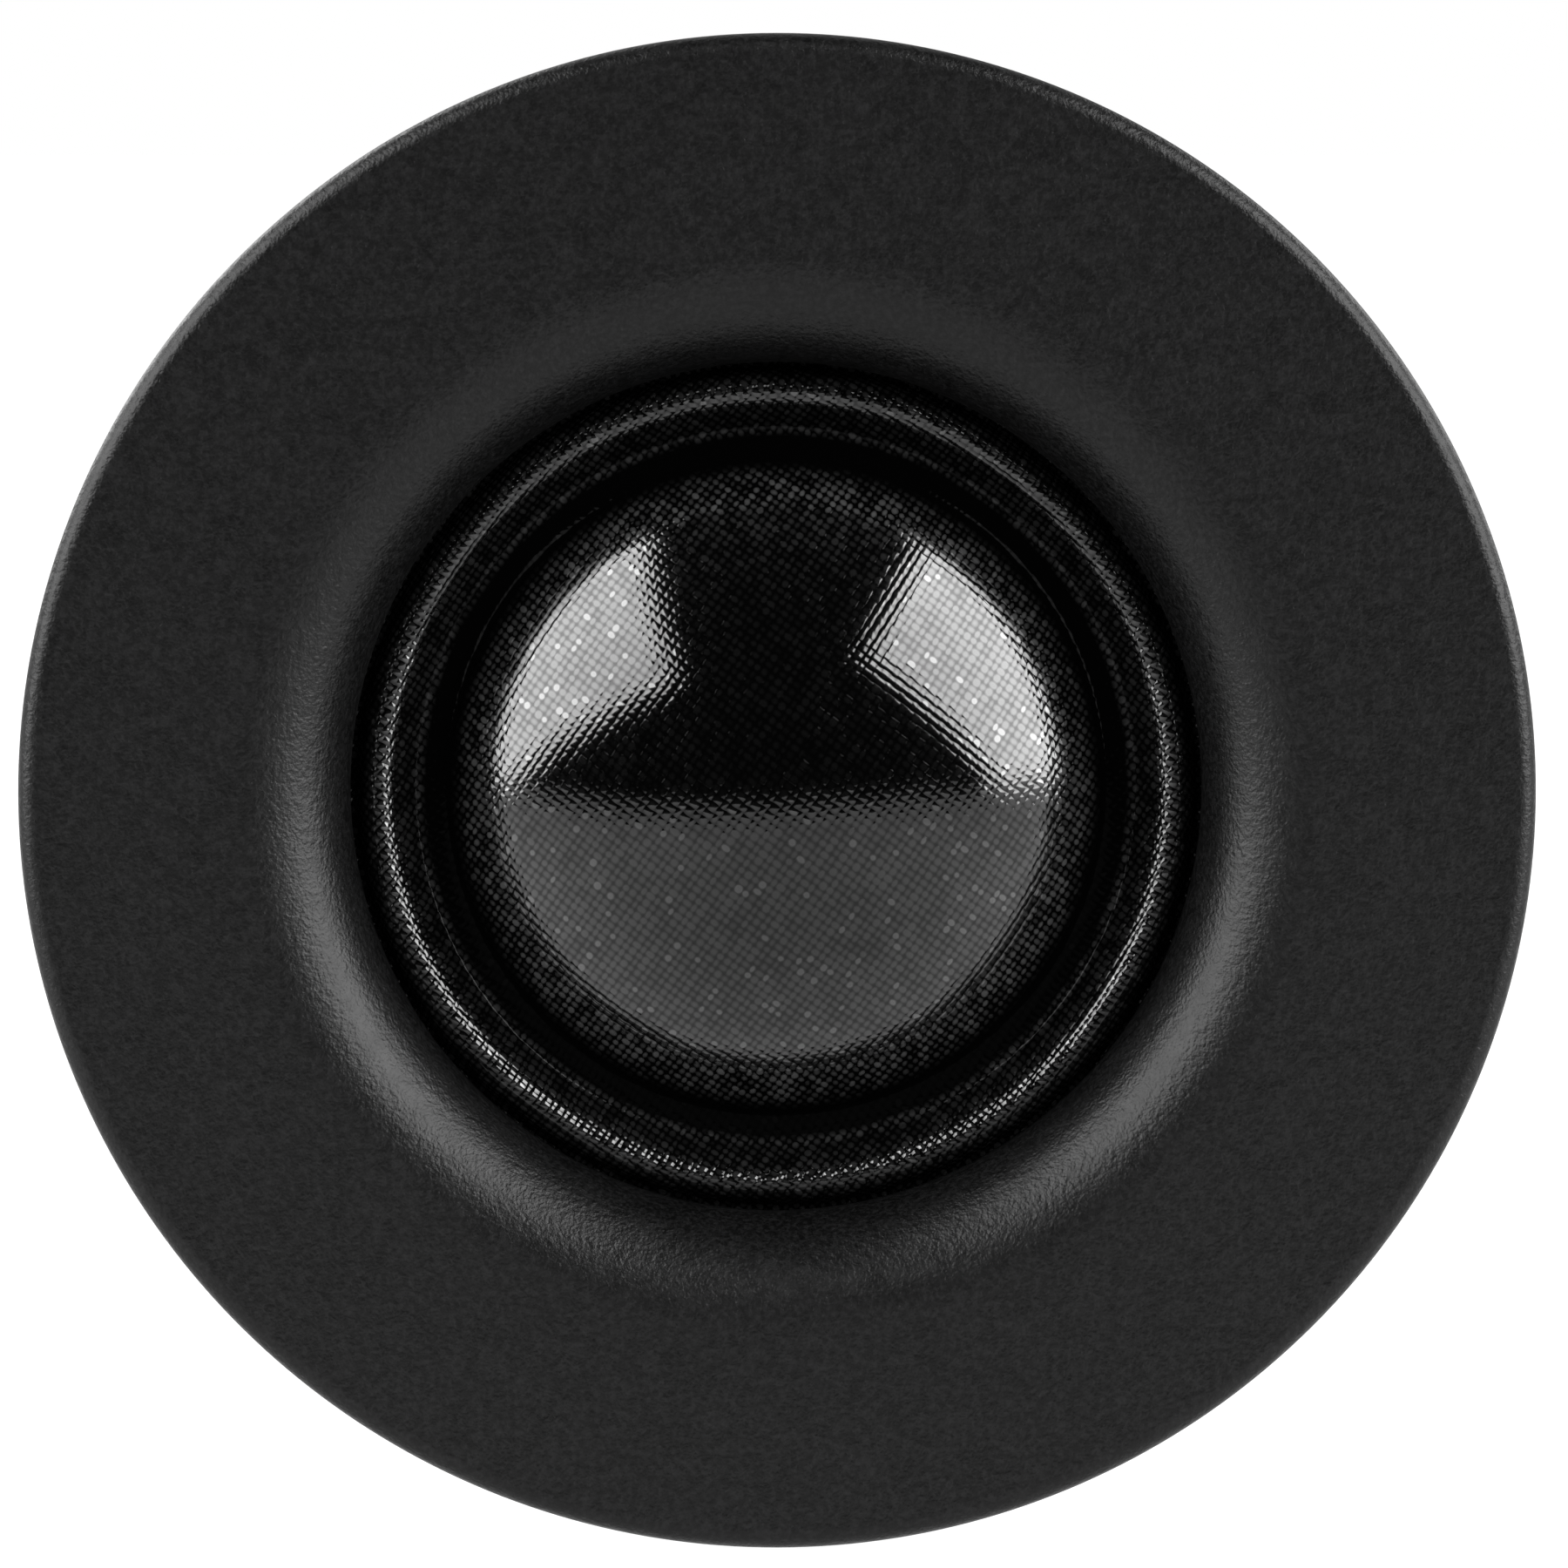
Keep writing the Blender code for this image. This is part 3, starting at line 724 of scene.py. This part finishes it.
def make_diaphragm():
    """Rings of points along the front of the cloth and back along its rear. Those of the roll are
    closer and have more points."""
    line = diaphragm_line()
    length = np.concatenate([[0], np.cumsum(np.hypot(*np.diff(line, axis=0).T))])
    fine_from = length[np.searchsorted(line[:, 0], 13.2 * MM)]
    fine_to = length[np.searchsorted(line[:, 0], 16.1 * MM)]
    front = list(np.linspace(0, fine_from, 60))
    front += list(np.linspace(fine_from, fine_to, 50)[1:])
    front += list(np.linspace(fine_to, length[-1], 4)[1:])
    rear = list(np.linspace(length[-1], 0, 64))
    coarse_count, fine_count = 240, 1200

    slope = np.gradient(line, axis=0)
    slope /= np.hypot(*slope.T)[:, None]

    def at(s):
        """Radius, depth and direction of the line at a length along it."""
        r, depth = np.interp(s, length, line[:, 0]), np.interp(s, length, line[:, 1])
        t = np.array([np.interp(s, length, slope[:, 0]), np.interp(s, length, slope[:, 1])])
        return r, depth, t / np.hypot(*t)

    radii, *finish = zip(*CLOTH_FINISH)
    places, weave, varnish, reach, rings = [], [], [], [], []
    for side, stations in (("front", front), ("rear", rear)):
        for s in stations:
            r, depth, along = at(s)
            out = np.array([along[1], -along[0]])
            if side == "rear":
                r, depth = r - out[0] * CLOTH_THICK, depth - out[1] * CLOTH_THICK
            fine = side == "front" and s > fine_from + TINY
            count = fine_count if fine else coarse_count
            if s < TINY:
                count, r = 1, 0.0
            turn = TURN * np.arange(count) / count
            x, z = s * np.cos(turn), s * np.sin(turn)
            u = (x * ACROSS_U[0] + z * ACROSS_U[1]) / THREAD_U
            v = (x * ACROSS_V[0] + z * ACROSS_V[1]) / THREAD_V
            u = u + UNEVEN * np.cos(np.pi * u)
            lift = RELIEF * on_roll(r) * weave_height(u, v) if fine else np.zeros(count)
            # The bare-thread amount is zero in the valley, a painted shade.
            relief, gloss, bare_and_shade = (np.interp(r / MM, radii, row) for row in finish)
            rings.append(list(range(len(reach), len(reach) + count)))
            radius = r + out[0] * lift
            places.append(np.stack(
                [radius * np.cos(turn), depth + out[1] * lift, radius * np.sin(turn)], axis=1
            ))
            weave.append(np.stack([u, v, np.full(count, relief)], axis=1))
            varnish.append(np.tile([gloss, bare_and_shade, 0.0], (count, 1)))
            reach += [r] * count
    faces = []
    for a, b in zip(rings, rings[1:]):
        faces += ring_faces(a, b)
    mesh = bpy.data.meshes.new("diaphragm_cloth")
    mesh.from_pydata(np.concatenate(places).tolist(), [], faces)
    for label, values in (("weave", weave), ("varnish", varnish)):
        attribute = mesh.attributes.new(label, "FLOAT_VECTOR", "POINT")
        attribute.data.foreach_set("vector", np.concatenate(values).astype(np.float32).ravel())
    tidy(mesh, 60)
    piece = link("diaphragm_cloth", mesh)
    dress(piece, "coated_cloth")
    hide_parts("dome", "surround")
    # The blend's own weights run along a line. Here they go by radius: the cloth inside the roll
    # follows the coil, and the cloth outside it stays.
    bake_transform(piece, "chassis", "moving_coil", (0, VALLEY_DEPTH, 0), (0, 0, 0))
    follow = 1 - smooth_step(np.array(reach), ROLL_INNER, ROLL_OUTER)
    mesh.attributes["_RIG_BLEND"].data.foreach_set("value", follow.astype(np.float32))


# Behind the diaphragm

def make_voice_coil():
    front, rear, outer = span("voice_coil_former")
    inner = 12.55 * MM
    former = lathe("coil_former_foil", bored(inner, outer, front, rear, 0.03 * MM))
    stand_for(former, "voice_coil_former")
    front, rear, outer = span("voice_coil_winding")
    inner = 12.85 * MM
    turns = 24
    wire = (rear - front) / turns / 2
    outline = [(inner, rear), (inner, front)]
    for i in range(turns):
        outline += arc((outer - wire, front + wire * (2 * i + 1)), wire, -80, 160, 4)
    winding = lathe("coil_winding_turns", outline, 120, angle=70)
    stand_for(winding, "voice_coil_winding")


def make_diaphragm_frame():
    front, rear, outer = span("diaphragm_frame")
    inner = 15.9 * MM
    ring = lathe("diaphragm_ring", bored(inner, outer, front, rear, 0.15 * MM))
    stand_for(ring, "diaphragm_frame")


def make_motor():
    front, rear, outer = span("motor_cup")
    bore, mouth, undercut, neck, base = 3 * MM, 13.45 * MM, 14.4 * MM, 7.7 * MM, 10.6 * MM
    cup = lathe("motor_cup_body", rounded([
        (outer, front, 0.3 * MM),
        (outer, rear, 0.6 * MM),
        (bore, rear, 0.3 * MM),
        (bore, base, 0.2 * MM),
        (undercut, base),
        (undercut, neck),
        (mouth, neck, 0.15 * MM),
        (mouth, front, 0.15 * MM),
    ]), 200)
    flat, beyond = -15 * MM, 20 * MM
    cutter = block("cutter", (-beyond, front - PAST, -beyond), (beyond, rear + PAST, flat))
    stand_for(carve(cup, [cutter]), "motor_cup")

    for node, name, fillet in (
        ("pole_plate", "pole_plate_disc", 0.15 * MM), ("magnet", "magnet_disc", 0.3 * MM)
    ):
        front, rear, outer = span(node)
        stand_for(lathe(name, bored(bore, outer, front, rear, fillet)), node)

    front, rear, outer = span("copper_cap")
    lip = 0.25 * MM
    cap = lathe("shorting_cap", rounded([
        (bore, front), (outer, front, 0.2 * MM), (outer, rear), (outer - lip, rear),
        (outer - lip, front + lip, 0.05 * MM), (bore, front + lip),
    ]))
    stand_for(cap, "copper_cap")


def felt_steps(inner, outer, front, rear, fillet, step=0.35 * MM):
    """Outline of a ring of felt, with points close enough for its surface to be uneven."""
    outline = bored(inner, outer, front, rear, fillet)
    points = []
    for a, b in zip(outline, outline[1:] + outline[:1]):
        a, b = Vector(a), Vector(b)
        count = max(1, round((b - a).length / step))
        points += [tuple(a.lerp(b, k / count)) for k in range(count)]
    return points


def make_felts():
    front, rear, outer = span("dome_damper")
    inner = 3 * MM
    outline = felt_steps(inner, outer, front, rear, 0.35 * MM)
    pad = lathe("dome_damper_felt", outline, angle=80)
    rough_up(pad, 0.07 * MM, 0.5 * MM)
    stand_for(pad, "dome_damper")
    front, rear, outer = span("chamber_felt")
    inner, swell = 4.5 * MM, 0.1 * MM
    outline = felt_steps(inner, outer - swell, front, rear, 0.3 * MM, 0.6 * MM)
    pad = lathe("chamber_felt_pad", outline, 140, angle=80)
    rough_up(pad, 0.09 * MM, 0.6 * MM)
    half, top, bottom = 7.6 * MM, -8 * MM, -18 * MM
    notch = block("cutter", (-half, front - PAST, bottom), (half, rear + PAST, top))
    stand_for(carve(pad, [notch]), "chamber_felt")


# The rear housing and what is screwed or riveted to it

REAR_WALL = 1.4 * MM
BOARD_HOLE = 1.1 * MM
SIDES = ("positive", "negative")


def rivet_spot(side):
    spot = middle(f"terminal_rivet_{side}")
    return spot.x, spot.z


def polarity_marks(face):
    """Raised marks on the rear face: a cross on the positive side, one bar on the negative."""
    long, short, sunk, high = 1.3 * MM, 0.28 * MM, 0.1 * MM, 0.22 * MM
    bars = []
    for side, x in (("positive", 11.2 * MM), ("negative", -11.2 * MM)):
        z = rivet_spot(side)[1]
        sizes = [(long, short), (short, long)] if side == "positive" else [(long, short)]
        for a, b in sizes:
            inside, outside = (x - a, face - sunk, z - b), (x + a, face + high, z + b)
            bars.append(block("bar", inside, outside, 0.08 * MM))
    return bars


def make_housing():
    front, rear, lip_outer = span("rear_housing")
    lip_rear, inner, outer = 9.4 * MM, 16.9 * MM, 18.1 * MM
    wall = rear - REAR_WALL
    around_bore = STUD_BORE + 2.2 * MM
    housing = lathe("rear_housing_moulding", rounded([
        (lip_outer, front, 0.15 * MM, 3),
        (lip_outer, lip_rear, 0.35 * MM, 5),
        (outer, lip_rear, 0.35 * MM, 5),
        (outer, rear, 0.8 * MM, 8),
        (around_bore, rear),
        (STUD_BORE, rear, 0.2 * MM, 3),
        (STUD_BORE, wall),
        (inner, wall, 0.5 * MM, 4),
        (inner, front, 0.15 * MM, 2),
    ]), 256)
    cutters = [rod(x, z, SCREW_HOLE, front - PAST, lip_rear + PAST) for _, x, z in screw_spots()]
    cutters += [rod(*rivet_spot(side), BOARD_HOLE, wall - PAST, rear + PAST) for side in SIDES]
    carve(housing, cutters)
    carve(housing, polarity_marks(rear), "UNION")
    stand_for(housing, "rear_housing")


def make_screws():
    shaft, pitch, groove, steps = 0.8 * MM, 0.5 * MM, 0.17 * MM, 42
    long, short, deep = 0.95 * MM, 0.2 * MM, 0.75 * MM
    for number, x, z in screw_spots():
        node = f"housing_screw_{number}"
        front, rear, head = span(node)
        seat = rear - 1.3 * MM
        turns_from, turns_to = front + 0.3 * MM, seat - 0.2 * MM
        outline = [(0, front), (0.3 * MM, front)]
        outline += [
            (shaft, turns_from + (turns_to - turns_from) * i / steps) for i in range(steps + 1)
        ]
        outline += rounded([
            (shaft, seat), (head, seat, 0.15 * MM, 3), (head, rear, 0.75 * MM, 7), (0, rear)
        ], closed=False)

        def thread(r, depth, turn):
            if r < shaft - NEAR or depth > seat - 0.1 * MM or depth < turns_from:
                return r, depth
            phase = (depth / pitch - turn / TURN) % 1
            return r - groove * abs(2 * phase - 1), depth

        screw = lathe(f"housing_screw_{number}_steel", outline, 48, thread, at=(x, z))
        cross = []
        for a, b in ((long, short), (short, long)):
            low, high = (x - a, rear - deep, z - b), (x + a, rear + PAST, z + b)
            cross.append(block("cutter", low, high, 0.06 * MM, 2))
        stand_for(carve(screw, cross), node)


def make_board():
    low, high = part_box("terminal_board")
    plate = block("terminal_board_plate", low, high, 0.12 * MM, 2)
    holes = [rod(*rivet_spot(side), BOARD_HOLE, low.y - PAST, high.y + PAST) for side in SIDES]
    stand_for(carve(plate, holes), "terminal_board")


def make_terminal(side):
    """A strip of brass riveted to the board and bent back into a blade."""
    node = f"terminal_{side}"
    low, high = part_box(node)
    x, z = rivet_spot(side)
    sheet, half, blade, bend, bend_steps = 0.6 * MM, 2.4 * MM, 1.4 * MM, 0.75 * MM, 6
    foot, face, end = low.y + sheet, -13.8 * MM, high.y
    # The outer face of the strip, whose blade lies at z = face: (depth, z, half width)
    rows = [(foot, high.z, half - 0.5 * MM), (foot, high.z - 0.15 * MM, half - 0.15 * MM)]
    rows += [(foot, high.z - 0.5 * MM, half), (foot, face + bend + 0.5 * MM, half)]
    round_bend = arc((foot + bend, face + bend), bend, 180, 90, bend_steps)
    for k, (depth, height) in enumerate(round_bend):
        taper = (blade + 0.35 * MM - half) * (0.3 + 0.7 * k / bend_steps)
        rows.append((depth, height, half + taper))
    rows += [
        (foot + 1.8 * MM, face, blade + 0.1 * MM), (foot + 2.2 * MM, face, blade),
        (end - 0.9 * MM, face, blade), (end, face, blade - 0.55 * MM),
    ]
    tab = strip(f"{node}_tab", [
        ((x - half_width, depth, height), (x + half_width, depth, height))
        for depth, height, half_width in rows
    ], sheet)
    holes = [rod(x, z, BOARD_HOLE, low.y - PAST, foot + PAST)]
    pin_radius, pin_reach = 0.55 * MM, 2 * MM
    pin = rod(0, 0, pin_radius, -pin_reach, pin_reach, 32)
    place = Matrix.Translation((x, end - 2.2 * MM, face))
    pin.data.transform(place @ Matrix.Rotation(math.pi / 2, 4, "X"))
    holes.append(pin)
    carve(tab, holes)
    soften(tab, 0.07 * MM)
    stand_for(tab, node)


def make_rivet(side):
    node = f"terminal_rivet_{side}"
    x, z = rivet_spot(side)
    front, rear, head = span(node)
    shank, flange = 0.8 * MM, front + 0.4 * MM
    rolled, dip = rear - 0.5 * MM, rear - 0.45 * MM
    rivet = lathe(f"{node}_brass", rounded([
        (0, front), (head, front, 0.15 * MM, 3), (head, flange, 0.1 * MM, 2), (shank, flange),
        (shank, rolled), (head, rolled, 0.08 * MM, 2),
        (head - 0.1 * MM, rear - 0.1 * MM, 0.2 * MM, 4), (0.75 * MM, rear, 0.15 * MM, 4),
        (0.45 * MM, dip, 0.15 * MM, 3), (0, rolled),
    ], closed=False), 64, at=(x, z))
    stand_for(rivet, node)


def make_terminals():
    make_board()
    for side in SIDES:
        make_terminal(side)
        make_rivet(side)


def make_lead_wires():
    """Each wire runs over the flat of the motor cup to its rivet."""
    for side, sign in (("positive", 1), ("negative", -1)):
        node = f"lead_wire_{side}"
        x, z = rivet_spot(side)
        route = [
            (sign * 2.5, 5.3, -16.0), (sign * 2.5, 8.8, -16.0), (sign * 2.5, 12.2, -16.0),
            (sign * 2.7, 13.7, -15.6), (sign * 3.5, 14.4, -13.4), (x / MM, 15.0, z / MM - 0.7),
            (x / MM, 15.8, z / MM),
        ]
        curve = bpy.data.curves.new(f"{node}_insulation", "CURVE")
        curve.dimensions = "3D"
        curve.bevel_depth = 0.38 * MM
        curve.bevel_resolution = 4
        curve.use_fill_caps = True
        curve.resolution_u = 8
        spline = curve.splines.new("BEZIER")
        spline.bezier_points.add(len(route) - 1)
        for point, place in zip(spline.bezier_points, route):
            point.co = Vector(place) * MM
            point.handle_left_type = point.handle_right_type = "AUTO"
        wire = link(f"{node}_insulation", curve)
        stand_for(wire, node)


# The clamp behind the panel

def screw_thread(major, depth, start, end, inside=False):
    """A warp that cuts a helical thread in the points of a cylinder of that radius."""
    def warp(r, d, turn):
        if abs(r - major) > NEAR or not start < d < end:
            return r, d
        phase = (d / THREAD_PITCH - turn / TURN) % 1
        groove = depth * (1 - min(1, 1.25 * abs(2 * phase - 1)))
        fade = min(1, (end - d) / THREAD_PITCH, (d - start) / THREAD_PITCH)
        return r + (groove if inside else -groove) * fade, d
    return warp


def make_stud():
    front, rear, _ = span("mounting_stud")
    head, seat, major = 3.5 * MM, 16.5 * MM, 1.98 * MM
    plain_to, top = seat + 2.2 * MM, rear - 0.45 * MM
    count = 150
    outline = rounded([
        (0, front), (head, front, 0.25 * MM, 4), (head, seat, 0.15 * MM, 3), (major, seat),
        (major, plain_to),
    ], closed=False)
    outline += [(major, plain_to + (top - plain_to) * i / count) for i in range(1, count + 1)]
    outline += [(1.55 * MM, rear - 0.02 * MM), (1.45 * MM, rear), (0, rear)]
    warp = screw_thread(major, 0.4 * MM, plain_to, top)
    stand_for(lathe("mounting_stud_steel", outline, 72, warp, angle=50), "mounting_stud")


def make_clamp_strap():
    """Spring steel strip: two outward feet, two legs and the bridge that the stud goes through."""
    low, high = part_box("clamp_strap")
    thick, bend, toe, corner = 1.2 * MM, 1.6 * MM, 0.6 * MM, 1.1 * MM
    foot, bridge, end, leg = low.y + thick, high.y, high.x, 25.5 * MM
    half = (high.z - low.z) / 2
    tip = arc((end - corner, half - corner), corner, 0, 90, 6)
    path = [(x, foot, w) for x, w in tip]
    path += [(x, d, half) for x, d in arc((leg + toe, foot + toe), toe, -90, -90, 8)]
    path += [(x, d, half) for x, d in arc((leg - bend, bridge - bend), bend, 0, 90, 10)]
    path += [(-x, d, w) for x, d, w in reversed(path)]
    strap = strip("clamp_strap_steel", [((x, d, -w), (x, d, w)) for x, d, w in path], thick)
    bore, bore_from = 2.6 * MM, bridge - 2.2 * MM
    carve(strap, [rod(0, 0, bore, bore_from, bridge + PAST, 64)])
    soften(strap, 0.16 * MM, 3)
    stand_for(strap, "clamp_strap")


def make_washer():
    """A split ring whose ends stand a little apart."""
    front, rear, outer = span("lock_washer")
    inset, spread = 0.1 * MM, 0.16 * MM
    outline = bored(STUD_BORE, outer, front + inset, rear - inset, 0.08 * MM)
    places, rings = [], []
    count, slit = 120, math.radians(7)
    for j in range(count + 1):
        turn = math.pi / 2 + slit + (TURN - 2 * slit) * j / count
        rise = spread * (j / count - 0.5)
        rings.append(list(range(len(places), len(places) + len(outline))))
        places += [(r * math.cos(turn), d + rise, r * math.sin(turn)) for r, d in outline]
    faces = [f for a, b in zip(rings, rings[1:]) for f in ring_faces(a, b)]
    faces += [tuple(rings[0]), tuple(reversed(rings[-1]))]
    mesh = bpy.data.meshes.new("lock_washer_steel")
    mesh.from_pydata(places, [], faces)
    tidy(mesh)
    stand_for(link("lock_washer_steel", mesh), "lock_washer")


def make_nut():
    front, rear, outer = span("clamp_nut")
    bore, collar, step = 2.06 * MM, 3.8 * MM, front + 1.0 * MM
    mouth, dish = bore + 0.28 * MM, rear - 0.2 * MM
    knurl_from, knurl_to, knurl_steps = step + 0.35 * MM, rear - 0.35 * MM, 16
    knurl_depth, run_out, teeth = 0.22 * MM, 0.25 * MM, 44
    face = rounded([
        (mouth, front), (collar, front, 0.2 * MM, 4), (collar, step), (outer, step, 0.3 * MM, 4),
        (outer, knurl_from),
    ], closed=False)
    knurled = [
        (outer, knurl_from + (knurl_to - knurl_from) * i / knurl_steps)
        for i in range(1, knurl_steps + 1)
    ]
    back = rounded([
        (outer, knurl_to), (outer, rear, 0.3 * MM, 4), (outer - 1.2 * MM, rear, 0.1 * MM, 2),
        (outer - 1.4 * MM, dish, 0.1 * MM, 2), (mouth, dish),
    ], closed=False)[1:]
    bore_from, bore_to, bore_steps = rear - 0.45 * MM, front + 0.25 * MM, 32
    bored_out = [
        (bore, bore_from + (bore_to - bore_from) * i / bore_steps) for i in range(bore_steps + 1)
    ]
    cut = screw_thread(bore, 0.22 * MM, bore_to, bore_from, inside=True)

    def warp(r, d, turn):
        if r > outer - NEAR and knurl_from <= d <= knurl_to:
            edge = min(1, (d - knurl_from) / run_out, (knurl_to - d) / run_out)
            wave = abs(((turn * teeth / TURN) % 1) * 2 - 1)
            return r - knurl_depth * edge * wave, d
        return cut(r, d, turn)

    nut = lathe("clamp_nut_knurled", face + knurled + back + bored_out, teeth * 8, warp, angle=28)
    stand_for(nut, "clamp_nut")


make_faceplate()
make_seals()
make_diaphragm()
make_voice_coil()
make_diaphragm_frame()
make_motor()
make_felts()
make_housing()
make_screws()
make_terminals()
make_lead_wires()
make_stud()
make_clamp_strap()
make_washer()
make_nut()


# Studio: floor, surroundings, lights and camera

def make_floor():
    """A pale floor whose front edge shows in the dome as a dark horizon. It glows so that it looks
    evenly white, and more so beside the tweeter."""
    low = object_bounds()[0].z - 0.1 * MM
    side, back, front_left, front_right = 1.5, 3.0, -0.19, -0.28
    outline = [
        (-side, front_left), (-0.12, front_left), (0.2, front_right), (side, front_right),
        (side, back), (-side, back),
    ]
    mesh = bpy.data.meshes.new("floor")
    mesh.from_pydata([(x, y, low) for x, y in outline], [], [tuple(range(len(outline)))])
    floor = link("floor", mesh)
    look = Look("pale_floor", (0.12, 0.12, 0.12), 0.9, Specular_IOR_Level=0.0)
    parts = look.node("ShaderNodeSeparateXYZ")
    look.feed(parts.inputs[0], look.position)
    across, along, _ = parts.outputs
    look.shader.inputs["Emission Color"].default_value = (1, 1, 1, 1)
    ahead = look.between(along, -40 * MM, -8 * MM, 0.82, 1.0)
    beside = look.between(look.math("ABSOLUTE", across), 8 * MM, 55 * MM, 0.0, 0.5)
    fade_ahead = look.between(along, -130 * MM, -40 * MM, 0.2, 1.0)
    fade_behind = look.between(along, -15 * MM, 10 * MM, 1.0, 0.0)
    fade = look.math("MULTIPLY", fade_ahead, fade_behind)
    look.drive(Emission_Strength=look.math("MULTIPLY_ADD", beside, fade, ahead))
    mesh.materials.append(look.material)


def make_world():
    """White to the camera. What falls on the tweeter is dim in front and brighter behind."""
    bpy.context.scene.view_settings.view_transform = "Standard"
    world = bpy.data.worlds.new("studio")
    bpy.context.scene.world = world
    world.use_nodes = True
    tree = world.node_tree
    tree.nodes.clear()
    out = tree.nodes.new("ShaderNodeOutputWorld")
    mix = tree.nodes.new("ShaderNodeMixShader")
    seen = tree.nodes.new("ShaderNodeBackground")
    cast = tree.nodes.new("ShaderNodeBackground")
    path = tree.nodes.new("ShaderNodeLightPath")
    place = tree.nodes.new("ShaderNodeTexCoord")
    split = tree.nodes.new("ShaderNodeSeparateXYZ")
    ramp = tree.nodes.new("ShaderNodeMapRange")
    seen.inputs["Color"].default_value = (1, 1, 1, 1)
    cast.inputs["Color"].default_value = (1, 1, 1, 1)
    for name, value in (("From Min", 0.05), ("From Max", 0.5), ("To Min", 0.005), ("To Max", 0.5)):
        ramp.inputs[name].default_value = value
    links = tree.links
    links.new(place.outputs["Generated"], split.inputs[0])
    links.new(split.outputs["Y"], ramp.inputs["Value"])
    links.new(ramp.outputs["Result"], cast.inputs["Strength"])
    links.new(path.outputs["Is Camera Ray"], mix.inputs[0])
    links.new(cast.outputs[0], mix.inputs[1])
    links.new(seen.outputs[0], mix.inputs[2])
    links.new(mix.outputs[0], out.inputs["Surface"])


def softbox(name, toward, center, long_way, size, radiance, distance=0.6):
    """A rectangle of light facing the tweeter from a direction. Its middle, its long side and its
    size are given in the plane square to that direction, in units of the distance."""
    c = Vector(toward).normalized()
    u = c.cross(Vector((0, 0, 1))).normalized()
    w = u.cross(c)
    light = bpy.data.lights.new(name, "AREA")
    light.shape = "RECTANGLE"
    light.size, light.size_y = size[0] * distance, size[1] * distance
    light.energy = radiance * math.pi * light.size * light.size_y
    lamp = bpy.data.objects.new(name, light)
    bpy.context.scene.collection.objects.link(lamp)
    across = (u * long_way[0] + w * long_way[1]).normalized()
    turned = Matrix((across, c.cross(across), c)).transposed()
    place = Matrix.Translation((c + u * center[0] + w * center[1]) * distance)
    lamp.matrix_world = place @ turned.to_4x4()
    lamp.visible_camera = False


def make_lights():
    """Two windows that the dome mirrors, and two weak lights for the back."""
    softbox(
        "left_box", (-0.6706, -0.6130, 0.4178), center=(0.390, 0.0285), long_way=(0.558, 0.830),
        size=(0.9, 1.2), radiance=9.2,
    )
    softbox(
        "right_box", (0.6909, -0.5652, 0.4508), center=(-0.241, -0.105), long_way=(-0.777, 0.629),
        size=(0.78, 1.1), radiance=11,
    )
    softbox("rear_left", (-0.62, 0.62, 0.48), (0, 0), (1, 0), (0.8, 0.6), 5, 0.8)
    softbox("rear_right", (0.72, 0.55, 0.42), (0, 0), (1, 0), (0.6, 0.6), 4, 0.8)


def make_camera():
    """The photograph's angle: almost square on, from a little to the left and above."""
    data = bpy.data.cameras.new("camera")
    data.sensor_width = 36.0
    distance, view_width = 0.45, 58.78 * MM
    data.lens = data.sensor_width * distance / view_width
    data.clip_start, data.clip_end = 0.01, 20
    camera = bpy.data.objects.new("camera", data)
    bpy.context.scene.collection.objects.link(camera)
    azimuth, elevation = math.radians(-1), math.radians(4)
    back = Vector((
        math.sin(azimuth) * math.cos(elevation), -math.cos(azimuth) * math.cos(elevation),
        math.sin(elevation),
    ))
    front = span("faceplate")[0]
    target = Vector((0.22 * MM, front, 0.41 * MM))
    camera.location = target + back * distance
    camera.rotation_mode = "QUATERNION"
    camera.rotation_quaternion = (-back).to_track_quat("-Z", "Y")
    bpy.context.scene.camera = camera


make_floor()
make_world()
make_lights()
make_camera()
